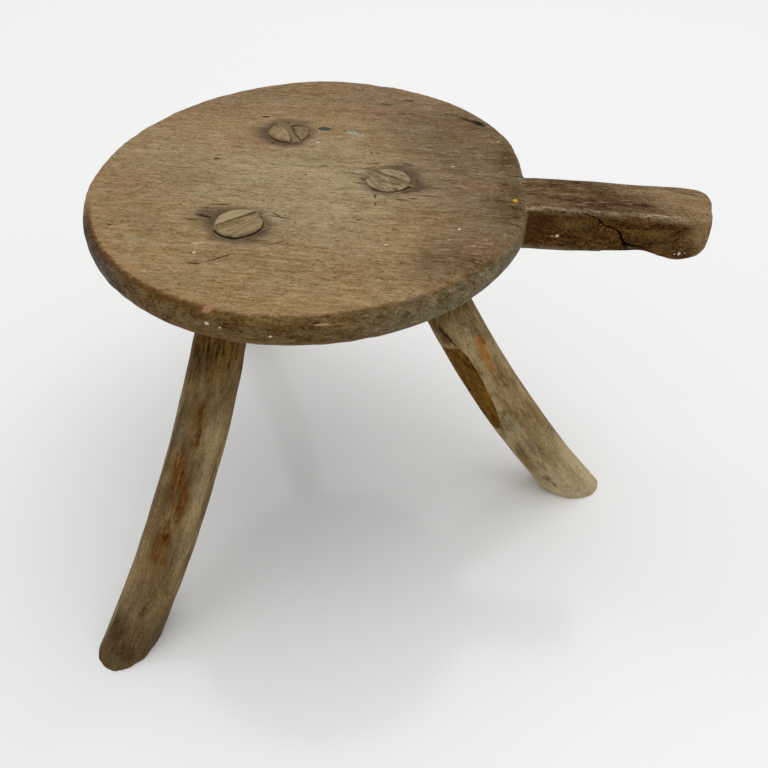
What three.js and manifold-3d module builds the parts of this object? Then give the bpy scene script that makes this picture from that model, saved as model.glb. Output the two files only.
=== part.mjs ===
// A small farmhouse milking stool: one thick round plank whose carry handle is cut from the same wood,
// and three bent, hewn legs whose tenons go through the seat and are wedged from above.
// Millimetres, +Z up, +X along the handle, origin on the floor at the middle of the stool's box.
import * as THREE from "three";
import { mergeVertices } from "three/addons/utils/BufferGeometryUtils.js";
import Module from "manifold-3d";

const wasm = await Module();
wasm.setup();

// Driving dimensions
const SEAT_HEIGHT = 235;
const SEAT_RADIUS = 130;
const SEAT_THICKNESS = 28;
const GAP = 0.3;

// The seat was sawn round by eye: it is longer one way than the other, a little three-sided, and cut
// in where the handle leaves it.
const OVAL = { amount: 4.6, towards: THREE.MathUtils.degToRad(71) };
const THREE_SIDED = { amount: 0.8, towards: THREE.MathUtils.degToRad(-18) };
const SHOULDER = { amount: 5.8, towards: THREE.MathUtils.degToRad(8), spread: THREE.MathUtils.degToRad(18) };
const RIM = { topRound: 4, belly: 0.6, bevelIn: 17, bevelUp: 14.5, bevelSoftIn: 5, bevelSoftUp: 4.2 };

// The handle's stations, from inside the seat to its end: x, the half width and middle in y,
// the top and bottom counted down from the seat's top, and the radius of its long corners.
const HANDLE_STATIONS = [
  { x: 92, half: 18, middle: -0.6, top: 0.2, bottom: 27, corner: 4 },
  { x: 118, half: 18, middle: -0.6, top: 0.2, bottom: 28.2, corner: 4 },
  { x: 134, half: 18, middle: -0.3, top: 0.2, bottom: 28.2, corner: 4.5 },
  { x: 168, half: 18.4, middle: 0.5, top: 0.3, bottom: 26.8, corner: 5.5 },
  { x: 196, half: 18.8, middle: 0.9, top: 0.4, bottom: 26, corner: 6 },
  { x: 209, half: 19, middle: 1, top: 0.5, bottom: 29.8, corner: 7 },
  { x: 219, half: 18.8, middle: 1, top: 0.7, bottom: 31, corner: 7.5 },
  { x: 224.5, half: 17, middle: 1, top: 1.6, bottom: 29, corner: 8 },
  { x: 227.5, half: 12.5, middle: 1.2, top: 5, bottom: 24.5, corner: 7 },
];
// The end was sawn off askew: its back corner reaches further than its front one.
const END_SLANT = { perMm: 0.3, from: 200, to: 225 };

// Each leg: the middle of its tenon on the seat's top, its foot on the floor, how far its middle bends
// sideways and inwards, its radius at the seat's top, the knee and the foot, and how far the tenon
// stands proud. The wedge lies across the tenon's end at an angle, off its middle by an offset.
const LEGS = [
  {
    name: "leg_front_left",
    hole: [-32.3, -56.5],
    foot: [-97, -175.9],
    bend: { side: -1.2, inward: 13 },
    radius: [13.2, 16.4, 16.4],
    proud: 1.6,
    facets: 7,
    turn: 0.2,
    wedge: { name: "wedge_front_left", angle: 39, top: 3, tip: 1, offset: 2.9 },
  },
  {
    name: "leg_handle_side",
    hole: [43.5, 0.5],
    foot: [185.5, -10.4],
    bend: { side: 3.2, inward: 10 },
    radius: [13.2, 16.3, 17.2],
    proud: 0.5,
    facets: 8,
    turn: 0.9,
    wedge: { name: "wedge_handle_side", angle: -31, top: 2.6, tip: 1, offset: 2.9 },
  },
  {
    name: "leg_back",
    hole: [-25.6, 51.5],
    foot: [-107.1, 150.4],
    bend: { side: 14.9, inward: 10 },
    radius: [13, 15.7, 16.2],
    proud: 1.2,
    facets: 7,
    turn: 1.6,
    wedge: { name: "wedge_back", angle: -59, top: 4.6, tip: 1.2, offset: 0.4 },
  },
];
const WEDGE_SUNK = 0.4;
const WEDGE_DEPTH = 24;

// The tenon is whittled round, and the hewn facets come in along this share of the leg below it.
const FACETS = { strength: 0.45, from: 0.12, to: 0.3 };

// Each leg and wedge is first made longer than it is, by these shares of the leg and this height,
// and then cut off level at both ends.
const SPARE = { legTop: 0.06, legFoot: 0.08, wedgeTop: 6 };

// How finely each shape is cut
const SEAT_SIDES = 96;
const HANDLE_SIDES = 28;
const LEG_SIDES = 24;
const LEG_RINGS = 24;

const WOOD = {
  seat: { color: 0x7d6a55, roughness: 0.72, metalness: 0 },
  leg: { color: 0x77684f, roughness: 0.8, metalness: 0 },
  wedge: { color: 0x8a7455, roughness: 0.85, metalness: 0 },
};

// A closed geometry as a solid that can be joined and cut.
function solidOf(geometry) {
  const bare = geometry.clone();
  bare.deleteAttribute("normal");
  bare.deleteAttribute("uv");
  const merged = mergeVertices(bare, 1e-4);
  const vertProperties = new Float32Array(merged.attributes.position.array);
  const triVerts = new Uint32Array(merged.index.array);
  return new wasm.Manifold(new wasm.Mesh({ numProp: 3, vertProperties, triVerts }));
}

// A cut solid as a geometry again.
function geometryOf(solid) {
  const mesh = solid.getMesh();
  const geometry = new THREE.BufferGeometry();
  geometry.setAttribute("position", new THREE.BufferAttribute(mesh.vertProperties, 3));
  geometry.setIndex(new THREE.BufferAttribute(mesh.triVerts, 1));
  geometry.computeVertexNormals();
  return geometry;
}

function woodMesh(name, solid, wood) {
  const mesh = new THREE.Mesh(geometryOf(solid), new THREE.MeshStandardMaterial(wood));
  mesh.name = name;
  return mesh;
}

// Moves each vertex of a geometry to the place that a function gives for it.
function reshape(geometry, place) {
  const points = geometry.attributes.position;
  const point = new THREE.Vector3();
  for (let i = 0; i < points.count; i++) {
    place(point.fromBufferAttribute(points, i));
    points.setXYZ(i, point.x, point.y, point.z);
  }
  return geometry;
}

// The seat's radius in one direction, as sawn.
function outline(angle) {
  const oval = OVAL.amount * Math.cos(2 * (angle - OVAL.towards));
  const threeSided = THREE_SIDED.amount * Math.cos(3 * (angle - THREE_SIDED.towards));
  const shoulder = SHOULDER.amount * Math.exp(-(((angle - SHOULDER.towards) / SHOULDER.spread) ** 2));
  return SEAT_RADIUS + oval + threeSided - shoulder;
}

// The plank's section, turned round the middle: flat top, eased top edge, slightly bellied rim,
// and the wide bevel that thins the underside's edge.
function seatProfile() {
  const bottom = SEAT_HEIGHT - SEAT_THICKNESS;
  const path = new THREE.Path();
  path.moveTo(0, bottom);
  path.lineTo(SEAT_RADIUS - RIM.bevelIn, bottom);
  path.quadraticCurveTo(
    SEAT_RADIUS - RIM.bevelSoftIn, bottom + RIM.bevelSoftUp,
    SEAT_RADIUS, bottom + RIM.bevelUp,
  );
  path.quadraticCurveTo(
    SEAT_RADIUS + RIM.belly, bottom + SEAT_THICKNESS - 2 * RIM.topRound,
    SEAT_RADIUS, SEAT_HEIGHT - RIM.topRound,
  );
  path.quadraticCurveTo(SEAT_RADIUS, SEAT_HEIGHT, SEAT_RADIUS - RIM.topRound, SEAT_HEIGHT);
  path.lineTo(0, SEAT_HEIGHT);
  return path.getPoints(4);
}

function seatDisc() {
  const disc = new THREE.LatheGeometry(seatProfile(), SEAT_SIDES).rotateX(Math.PI / 2);
  return reshape(disc, (point) => {
    const stretch = outline(Math.atan2(point.y, point.x)) / SEAT_RADIUS;
    point.x *= stretch;
    point.y *= stretch;
  });
}

// One point of the handle's section at a station: a rectangle with round corners, drawn as a
// superellipse whose power falls from square towards round as the corners grow.
function sectionPoint(station, angle) {
  const high = SEAT_HEIGHT - station.top;
  const low = SEAT_HEIGHT - station.bottom;
  const halfHeight = (high - low) / 2;
  const squareness = 1 - station.corner / halfHeight;
  const power = 2 + 8 * squareness;
  const c = Math.cos(angle);
  const s = Math.sin(angle);
  const reach = (Math.abs(c) ** power + Math.abs(s) ** power) ** (-1 / power);
  const y = station.middle + station.half * c * reach;
  const z = (high + low) / 2 + halfHeight * s * reach;
  return { y, z };
}

function handle() {
  const steps = HANDLE_STATIONS.length - 1;
  const tube = new THREE.CylinderGeometry(1, 1, steps, HANDLE_SIDES, steps).rotateZ(-Math.PI / 2);
  return reshape(tube, (point) => {
    const station = HANDLE_STATIONS[Math.round(point.x + steps / 2)];
    const fromAxis = Math.hypot(point.y, point.z);
    const edge = sectionPoint(station, Math.atan2(point.z, point.y));
    const middleZ = SEAT_HEIGHT - (station.top + station.bottom) / 2;
    point.y = fromAxis < 0.5 ? station.middle : edge.y;
    const slant = THREE.MathUtils.smoothstep(station.x, END_SLANT.from, END_SLANT.to) * END_SLANT.perMm;
    point.x = station.x + slant * (point.y - station.middle);
    point.z = fromAxis < 0.5 ? middleZ : edge.z;
  });
}

// A leg's middle line, counted from the middle of its tenon on the seat's top: it leaves the seat
// steeply and kicks outwards to its foot.
function legLine(leg) {
  const top = new THREE.Vector3(0, 0, 0);
  const foot = new THREE.Vector3(leg.foot[0] - leg.hole[0], leg.foot[1] - leg.hole[1], -SEAT_HEIGHT);
  const along = foot.clone().normalize();
  const side = along.clone().cross(new THREE.Vector3(0, 0, 1)).normalize();
  const up = side.clone().cross(along);
  const knee = foot.clone().multiplyScalar(0.5);
  knee.addScaledVector(side, 2 * leg.bend.side).addScaledVector(up, -2 * leg.bend.inward);
  return new THREE.QuadraticBezierCurve3(top, knee, foot);
}

// The leg's radius along its length, a smooth curve through the three that are given.
function legRadius(leg, t) {
  const [top, knee, foot] = leg.radius;
  const bulge = 4 * t * (1 - t) * (knee - (top + foot) / 2);
  return top + (foot - top) * t + bulge;
}

// How a hewn, many-sided section differs from a round one, from 1 at its corners inwards.
// The tenon is whittled round, and the facets come in below it.
function hewn(leg, angle, t) {
  const step = (2 * Math.PI) / leg.facets;
  const turned = THREE.MathUtils.euclideanModulo(angle + leg.turn, step);
  const flat = Math.cos(step / 2) / Math.cos(turned - step / 2);
  const strength = FACETS.strength * THREE.MathUtils.smoothstep(t, FACETS.from, FACETS.to);
  return 1 + strength * (flat - 1);
}

// A leg as a tube round its line, longer than it needs to be at both ends, and grown by a margin.
function legTube(leg, margin) {
  const line = legLine(leg);
  const from = -SPARE.legTop;
  const to = 1 + SPARE.legFoot;
  const across = line.getTangent(0).cross(new THREE.Vector3(0, 1, 0)).normalize();
  const tube = new THREE.CylinderGeometry(1, 1, 1, LEG_SIDES, LEG_RINGS).rotateX(-Math.PI / 2);
  return reshape(tube, (point) => {
    const t = from + (to - from) * (point.z + 0.5);
    const near = THREE.MathUtils.clamp(t, 0, 1);
    const middle = line.getPoint(t);
    const tangent = line.getPoint(t + 0.01).sub(line.getPoint(t - 0.01)).normalize();
    const first = across.clone().addScaledVector(tangent, -across.dot(tangent)).normalize();
    const second = tangent.clone().cross(first);
    const angle = Math.atan2(point.y, point.x);
    const share = Math.hypot(point.x, point.y);
    const radius = share * (legRadius(leg, near) * hewn(leg, angle, near) + margin);
    point.copy(middle);
    point.addScaledVector(first, radius * Math.cos(angle));
    point.addScaledVector(second, radius * Math.sin(angle));
  });
}

// The space between two heights, counted from the seat's top, as one large block.
function slab(low, high) {
  const size = 4 * SEAT_RADIUS;
  return new THREE.BoxGeometry(size, size, high - low).translate(0, 0, (low + high) / 2);
}

// The wedge's full prism, before it is trimmed to the tenon: a tapered blade across the tenon's end,
// driven in along the tenon's own line. A margin makes the split that takes it.
function wedgePrism(leg, margin) {
  const { angle, top, tip, offset } = leg.wedge;
  const slope = (top - tip) / 2 / WEDGE_DEPTH;
  const halfTop = top / 2 + slope * SPARE.wedgeTop + margin;
  const halfTip = tip / 2 + margin;
  const length = 4 * leg.radius[0];
  const shape = new THREE.Shape();
  shape.moveTo(-halfTip, -WEDGE_DEPTH - margin);
  shape.lineTo(halfTip, -WEDGE_DEPTH - margin);
  shape.lineTo(halfTop, SPARE.wedgeTop);
  shape.lineTo(-halfTop, SPARE.wedgeTop);
  const blade = new THREE.ExtrudeGeometry(shape, { depth: length, bevelEnabled: false });
  blade.translate(offset, 0, -length / 2).rotateX(Math.PI / 2).rotateZ(Math.PI / 2);
  const upwards = legLine(leg).getTangent(0).negate();
  blade.rotateZ(THREE.MathUtils.degToRad(angle));
  const lean = new THREE.Quaternion().setFromUnitVectors(new THREE.Vector3(0, 0, 1), upwards);
  return blade.applyQuaternion(lean);
}

function legSolid(leg) {
  const trimmed = solidOf(legTube(leg, 0)).intersect(solidOf(slab(-SEAT_HEIGHT, leg.proud)));
  return trimmed.subtract(solidOf(wedgePrism(leg, GAP)));
}

function wedgeSolid(leg) {
  const inTenon = solidOf(wedgePrism(leg, 0)).intersect(solidOf(legTube(leg, 0)));
  return inTenon.intersect(solidOf(slab(-SEAT_THICKNESS, leg.proud - WEDGE_SUNK)));
}

// The plank with its handle and the three slanting holes.
function seatSolid() {
  let seat = solidOf(seatDisc()).add(solidOf(handle()));
  for (const leg of LEGS) {
    const hole = legTube(leg, GAP).translate(leg.hole[0], leg.hole[1], SEAT_HEIGHT);
    seat = seat.subtract(solidOf(hole));
  }
  return seat;
}

const stool = new THREE.Group();
stool.add(woodMesh("seat_with_handle", seatSolid(), WOOD.seat));
for (const leg of LEGS) {
  const joint = new THREE.Group();
  joint.position.set(leg.hole[0], leg.hole[1], SEAT_HEIGHT);
  joint.add(woodMesh(leg.name, legSolid(leg), WOOD.leg));
  joint.add(woodMesh(leg.wedge.name, wedgeSolid(leg), WOOD.wedge));
  stool.add(joint);
}

// The frame's origin is on the floor, under the middle of the stool's box.
const box = new THREE.Box3().setFromObject(stool, true);
const middle = box.getCenter(new THREE.Vector3());
stool.position.set(-middle.x, -middle.y, -box.min.z);

const part = new THREE.Group();
part.add(stool);

export default part;
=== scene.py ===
# A farmhouse milking stool: a round plank seat with its carry handle, on three hewn and wedged legs.
import math

import bmesh
import bpy
import numpy as np
from mathutils import Euler, Matrix, Vector


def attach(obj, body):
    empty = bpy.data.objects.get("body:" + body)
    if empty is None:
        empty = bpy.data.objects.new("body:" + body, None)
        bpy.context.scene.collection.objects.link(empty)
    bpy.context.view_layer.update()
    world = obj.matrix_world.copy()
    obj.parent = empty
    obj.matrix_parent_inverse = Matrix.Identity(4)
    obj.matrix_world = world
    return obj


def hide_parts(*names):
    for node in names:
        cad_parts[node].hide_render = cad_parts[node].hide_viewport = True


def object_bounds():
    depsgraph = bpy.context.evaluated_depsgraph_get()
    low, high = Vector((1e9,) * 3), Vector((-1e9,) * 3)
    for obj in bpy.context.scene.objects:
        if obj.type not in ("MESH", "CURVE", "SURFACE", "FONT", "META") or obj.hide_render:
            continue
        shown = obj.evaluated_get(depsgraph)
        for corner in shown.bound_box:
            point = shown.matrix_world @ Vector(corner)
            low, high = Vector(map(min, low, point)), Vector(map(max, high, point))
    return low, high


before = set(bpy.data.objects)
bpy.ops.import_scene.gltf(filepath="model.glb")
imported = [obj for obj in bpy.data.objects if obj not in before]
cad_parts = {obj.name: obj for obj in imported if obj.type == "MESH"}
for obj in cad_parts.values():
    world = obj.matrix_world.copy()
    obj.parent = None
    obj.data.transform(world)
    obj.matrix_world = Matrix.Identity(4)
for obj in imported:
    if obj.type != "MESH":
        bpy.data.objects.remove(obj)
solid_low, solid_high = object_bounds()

# Shapes are worked out in millimetres from the floor under the middle of the seat, and moved into the
# frame at the end. The frame's origin is under the middle of the whole stool's box.
MM = 0.001
SEAT_MIDDLE = (-52.394, 14.287, 0.0)

# The plank
SEAT_HEIGHT = 235.0
SEAT_RADIUS = 130.0
SEAT_THICKNESS = 28.0
SEAT_BOTTOM = SEAT_HEIGHT - SEAT_THICKNESS
OVAL = (4.6, math.radians(71))
THREE_SIDED = (0.8, math.radians(-18))
SHOULDER = (5.8, math.radians(8), math.radians(18))
TOP_ROUND = 2.2
BELLY = 0.8
BEVEL_IN, BEVEL_UP = 17.0, 14.5
BEVEL_SOFT_IN, BEVEL_SOFT_UP = 5.0, 4.2
SEAT_STEPS = 288
SEAT_VOXEL = 1.6
HOLE_BELOW, HOLE_RINGS = 14, 60

# The handle, from inside the seat to its end: x, front and back in y, top and bottom counted down
# from the seat's top, and the radius of the long corners
HANDLE_STATIONS = np.array((
    (92, -18.2, 17.8, 0.2, 27.4, 1.5),
    (118, -18.2, 17.8, 0.2, 28.0, 1.2),
    (134, -18.2, 17.6, 0.2, 27.9, 1.2),
    (150, -18.2, 18.0, 0.2, 27.2, 1.2),
    (164, -18.2, 18.5, 0.3, 25.8, 1.2),
    (180, -18.4, 18.9, 0.3, 24.5, 1.5),
    (192, -18.5, 19.2, 0.4, 24.1, 1.8),
    (199, -18.6, 19.5, 0.4, 25.9, 2),
    (206, -18.6, 19.7, 0.5, 27.6, 2.5),
    (214, -18.6, 19.5, 0.6, 27.8, 3),
    (220, -18.4, 18.4, 0.8, 26.4, 3.5),
    (224, -17.8, 15.4, 1.4, 24.6, 4),
    (226.6, -15.5, 10, 3.4, 21.5, 4),
), float)
END_SLANT, SLANT_FROM, SLANT_TO = 0.17, 200.0, 225.0
HANDLE_STEPS, HANDLE_CUTS = 72, 90
HANDLE_FINE_FROM, HANDLE_FINE_HALF = 116, 24
ROOT_FROM, ROOT_TO, HANDLE_SOFT_FROM, HANDLE_HALF = 119, 128, 124, 26

# The legs: how finely they are made and how strong their hewn facets are. A leg's line runs from 0
# at the seat's top to 1 at the floor, and is known a little beyond both.
LINE_FROM, LINE_TO, LINE_STEPS = -0.15, 1.15, 1301
BRANCH_FROM, BRANCH_TO, BRANCH_STEPS, BATCH = -0.12, 1.12, 497, 4000
HALVINGS = 34
MARK_REACH = 16.0
LEG_STEPS = 112
LEG_RINGS = 260
CAP_RINGS = 30
TINY = 1e-4
FACET_STRENGTH, FACETS_FROM, FACETS_TO = 0.45, 0.12, 0.3

# The tenons' ends, the wedges in them, and the play round both
TENON_END, TENON_FALL = 9, 5
DROP_SLOPE, DROP_REACH = 1.6, 2.4
WEDGE_DEPTH = 24.0
WEDGE_SUNK = 0.4
WEDGE_ABOVE = 6.0
WEDGE_VOXEL = 0.5
WEDGE_RINGS = 40
WEDGE_END = 2.5
TENON_PLAY = 0.35
WEDGE_PLAY = 0.12

# Cracks, and how a finished mesh is cleaned and shaded
SLIT_STEP, SLIT_FLOOR = 1.1, 0.2
WELD_WITHIN, THINNEST, SHARP_FROM = 0.002, 0.001, 48


class Leg:
    """One leg: the middle of its tenon on the seat, its foot, its bend, its radii and its wedge."""

    def __init__(self, name, hole, foot, bend, radius, proud, facets, turn, wedge):
        self.name, self.hole, self.radius, self.proud = name, np.array(hole), radius, proud
        self.facets, self.turn, self.wedge = facets, turn, wedge
        end = Vector((foot[0] - hole[0], foot[1] - hole[1], -SEAT_HEIGHT))
        along = end.normalized()
        side = along.cross(Vector((0, 0, 1))).normalized()
        up = side.cross(along)
        self.knee = np.array(end / 2 + 2 * bend[0] * side - 2 * bend[1] * up)
        self.end = np.array(end)
        self.table = np.linspace(LINE_FROM, LINE_TO, LINE_STEPS)
        steps = np.linalg.norm(np.diff(self.line(self.table), axis=0), axis=1)
        self.lengths = np.concatenate(((0,), np.cumsum(steps)))
        self.lengths -= np.interp(0, self.table, self.lengths)

    def line(self, t):
        t = np.asarray(t, float)[..., None]
        return 2 * t * (1 - t) * self.knee + t * t * self.end

    def along(self, t):
        return np.interp(t, self.table, self.lengths)

    def axes(self, t):
        """The directions down the leg and the two across it, from which angles are counted."""
        down = self.line(np.asarray(t) + 0.01) - self.line(np.asarray(t) - 0.01)
        down /= np.linalg.norm(down, axis=-1, keepdims=True)
        start = self.knee / np.linalg.norm(self.knee)
        across = np.cross(start, (0, 1, 0))
        across /= np.linalg.norm(across)
        first = across - down * (down @ across)[..., None]
        first /= np.linalg.norm(first, axis=-1, keepdims=True)
        return down, first, np.cross(down, first)

    def thickness(self, angle, t):
        """The hewn, many-sided radius. The tenon is whittled round; facets come in below it."""
        near = np.clip(t, 0, 1)
        top, knee, foot = self.radius
        plain = top + (foot - top) * near + 4 * near * (1 - near) * (knee - (top + foot) / 2)
        step = 2 * math.pi / self.facets
        turned = np.mod(angle + self.turn, step)
        flat = math.cos(step / 2) / np.cos(turned - step / 2)
        strength = FACET_STRENGTH * smoothstep(FACETS_FROM, FACETS_TO, near)
        return plain * (1 + strength * (flat - 1))

    def surface(self, angle, t, grow=0.0):
        down, first, second = self.axes(t)
        out = first * np.cos(angle)[:, None] + second * np.sin(angle)[:, None]
        return self.line(t) + out * (self.thickness(angle, t) + grow)[:, None], out

    def level(self, angle, height, grow=0.0):
        """How far along the leg its surface crosses a height, counted from the seat's top."""
        low, high = np.full(len(angle), LINE_FROM), np.full(len(angle), LINE_TO)
        for _ in range(HALVINGS):
            middle = (low + high) / 2
            above = self.surface(angle, middle, grow)[0][:, 2] > height
            low, high = np.where(above, middle, low), np.where(above, high, middle)
        return (low + high) / 2

    def unbend(self, points):
        """Points of the bent leg as they were in the straight branch: across, across, along."""
        table = np.linspace(BRANCH_FROM, BRANCH_TO, BRANCH_STEPS)
        line = self.line(table)
        down, first, second = self.axes(table)
        found = np.empty((len(points), 3))
        for start in range(0, len(points), BATCH):
            part = points[start:start + BATCH]
            gaps = ((part[:, None, :] - line[None]) ** 2).sum(2)
            i = gaps.argmin(1)
            rest = part - line[i]
            found[start:start + BATCH] = np.stack((
                (rest * first[i]).sum(1),
                (rest * second[i]).sum(1),
                self.along(table[i]) + (rest * down[i]).sum(1),
            ), 1)
        return found


def smoothstep(low, high, value):
    share = np.clip((np.asarray(value, float) - low) / (high - low), 0, 1)
    return share * share * (3 - 2 * share)


def window(value, low, high, soft):
    """1 between two values, falling softly to 0 outside them."""
    return smoothstep(low - soft, low, value) * (1 - smoothstep(high, high + soft, value))


def eased(at, stops, values):
    """A smooth line through the values at the stops."""
    slopes = np.gradient(values, stops)
    i = np.clip(np.searchsorted(stops, at) - 1, 0, len(stops) - 2)
    width = stops[i + 1] - stops[i]
    u = np.clip((at - stops[i]) / width, 0, 1)
    start = (1 + 2 * u) * (1 - u) ** 2 * values[i] + u * (1 - u) ** 2 * width * slopes[i]
    end = u * u * (3 - 2 * u) * values[i + 1] + u * u * (u - 1) * width * slopes[i + 1]
    return start + end


def ripple(points, size, seed, stretch=(1, 1, 1), waves=28):
    """A soft random height, mostly from -1 to 1, whose bumps are about a size apart."""
    random = np.random.default_rng(seed)
    ways = random.normal(size=(waves, 3))
    ways /= np.linalg.norm(ways, axis=1, keepdims=True)
    ways *= random.uniform(0.7, 1.4, (waves, 1)) * 2 * math.pi / size / np.array(stretch)
    starts = random.uniform(0, 2 * math.pi, waves)
    return np.sin(points @ ways.T + starts).sum(1) / math.sqrt(waves)


# Meshes

def points_of(piece):
    found = np.empty(len(piece.data.vertices) * 3)
    piece.data.vertices.foreach_get("co", found)
    return found.reshape(-1, 3)


def normals_of(piece):
    found = np.empty(len(piece.data.vertices) * 3, np.float32)
    piece.data.vertex_normals.foreach_get("vector", found)
    return found.reshape(-1, 3).astype(float)


def move(piece, points):
    piece.data.vertices.foreach_set("co", np.asarray(points, float).ravel())
    piece.data.update()


def piece_from(shape, name):
    mesh = bpy.data.meshes.new(name)
    shape.to_mesh(mesh)
    shape.free()
    piece = bpy.data.objects.new(name, mesh)
    bpy.context.scene.collection.objects.link(piece)
    return piece


def drop(piece):
    mesh = piece.data
    bpy.data.objects.remove(piece)
    bpy.data.meshes.remove(mesh)


def worked(piece, kind, **settings):
    """Runs one modifier on a piece and keeps its result as the piece's mesh."""
    tool = piece.modifiers.new(kind, kind)
    for key, value in settings.items():
        setattr(tool, key, value)
    done = bpy.data.meshes.new_from_object(
        piece.evaluated_get(bpy.context.evaluated_depsgraph_get()))
    piece.modifiers.remove(tool)
    old, piece.data = piece.data, done
    bpy.data.meshes.remove(old)
    return piece


def carve(piece, cutter, way="DIFFERENCE"):
    worked(piece, "BOOLEAN", operation=way, solver="MANIFOLD", object=cutter)
    drop(cutter)
    return piece


def turned(outline, steps):
    """A closed shape turned round the upright axis from an outline of (radius, height) points."""
    shape = bmesh.new()
    corners = [shape.verts.new((radius, 0, height)) for radius, height in outline]
    edges = [shape.edges.new(pair) for pair in zip(corners, corners[1:])]
    bmesh.ops.spin(
        shape, geom=corners + edges, cent=(0, 0, 0), axis=(0, 0, 1), dvec=(0, 0, 0),
        angle=2 * math.pi, steps=steps, use_merge=True)
    bmesh.ops.remove_doubles(shape, verts=shape.verts[:], dist=1e-6)
    bmesh.ops.recalc_face_normals(shape, faces=shape.faces[:])
    return shape


def slit(path, widths, depth, seed, jag=0.35):
    """A cutter for a crack: a jagged blade along a path on the surface, thin at its inner edge."""
    path, depth = np.array(path, float), np.array(depth, float)
    lengths = np.concatenate(((0,), np.cumsum(np.linalg.norm(np.diff(path, axis=0), axis=1))))
    at = np.linspace(0, lengths[-1], max(4, int(lengths[-1] / SLIT_STEP)))
    line = np.stack([np.interp(at, lengths, path[:, i]) for i in range(3)], 1)
    width = np.interp(at, lengths, widths)
    inward = depth / np.linalg.norm(depth)
    side = np.cross(np.gradient(line, axis=0), inward)
    side /= np.linalg.norm(side, axis=1, keepdims=True)
    random = np.random.default_rng(seed)
    line += side * random.uniform(-jag, jag, (len(at), 1))
    half = side * (width * random.uniform(0.35, 0.65, len(at)))[:, None]
    rim = np.concatenate((line + half, (line - half)[::-1])) - 3 * inward
    floor = np.concatenate((line + SLIT_FLOOR * half, (line - SLIT_FLOOR * half)[::-1])) + depth
    shape = bmesh.new()
    face = shape.faces.new([shape.verts.new(point) for point in rim])
    made = bmesh.ops.extrude_face_region(shape, geom=[face])["geom"]
    moved = [part for part in made if isinstance(part, bmesh.types.BMVert)]
    for vert in moved:
        i = int(((rim - np.array(vert.co)) ** 2).sum(1).argmin())
        vert.co = floor[i]
    bmesh.ops.recalc_face_normals(shape, faces=shape.faces[:])
    return piece_from(shape, "crack")


def dent(at, size, turn=(0, 0, 0)):
    """A cutter for a gouge: an egg shape of these half sizes."""
    shape = bmesh.new()
    place = Matrix.LocRotScale(
        Vector(at), Euler([math.radians(angle) for angle in turn]), Vector(size))
    bmesh.ops.create_icosphere(shape, subdivisions=3, radius=1, matrix=place)
    return piece_from(shape, "gouge")


# The camera stands where the photographer's stood. Its focal length is known in the picture's pixels.
PICTURE_WIDE, FOCAL_PIXELS, SENSOR_WIDE = 768, 813, 36
CAMERA_AT = (0.02559, -0.40491, 0.47168)
CAMERA_TURNS = (("Z", 4.7), ("X", 46.61), ("Z", 1.754))


def put_camera():
    camera = bpy.data.objects.new("camera", bpy.data.cameras.new("camera"))
    bpy.context.scene.collection.objects.link(camera)
    bpy.context.scene.camera = camera
    camera.data.sensor_width = SENSOR_WIDE
    camera.data.lens = SENSOR_WIDE * FOCAL_PIXELS / PICTURE_WIDE
    camera.data.clip_start, camera.data.clip_end = 0.01, 50
    camera.matrix_world = Matrix.Translation(CAMERA_AT)
    for axis, angle in CAMERA_TURNS:
        camera.matrix_world @= Matrix.Rotation(math.radians(angle), 4, axis)


# The plank and its handle

def outline(angle):
    """The seat's radius in one direction, as sawn by eye."""
    oval = OVAL[0] * np.cos(2 * (angle - OVAL[1]))
    three_sided = THREE_SIDED[0] * np.cos(3 * (angle - THREE_SIDED[1]))
    shoulder = SHOULDER[0] * np.exp(-(((angle - SHOULDER[1]) / SHOULDER[2]) ** 2))
    return SEAT_RADIUS + oval + three_sided - shoulder


def curve(start, bend, end, steps=6):
    """Points on the way from one corner of an outline to the next, without the first."""
    found = []
    for i in range(1, steps + 1):
        t = i / steps
        found.append(tuple(
            (1 - t) ** 2 * a + 2 * t * (1 - t) * b + t * t * c
            for a, b, c in zip(start, bend, end)))
    return found


def seat_disc():
    low_edge = (SEAT_RADIUS - BEVEL_IN, SEAT_BOTTOM)
    rim_low = (SEAT_RADIUS, SEAT_BOTTOM + BEVEL_UP)
    rim_high = (SEAT_RADIUS, SEAT_HEIGHT - TOP_ROUND)
    top_edge = (SEAT_RADIUS - TOP_ROUND, SEAT_HEIGHT)
    soft = (SEAT_RADIUS - BEVEL_SOFT_IN, SEAT_BOTTOM + BEVEL_SOFT_UP)
    belly = (SEAT_RADIUS + BELLY, SEAT_HEIGHT - 2 * TOP_ROUND)
    section = [(0, SEAT_BOTTOM), low_edge]
    section += curve(low_edge, soft, rim_low) + curve(rim_low, belly, rim_high)
    section += curve(rim_high, (SEAT_RADIUS, SEAT_HEIGHT), top_edge) + [(0, SEAT_HEIGHT)]
    disc = piece_from(turned(section, SEAT_STEPS), "seat_plank")
    points = points_of(disc)
    stretch = outline(np.arctan2(points[:, 1], points[:, 0])) / SEAT_RADIUS
    points[:, :2] *= stretch[:, None]
    move(disc, points)
    return disc


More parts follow.
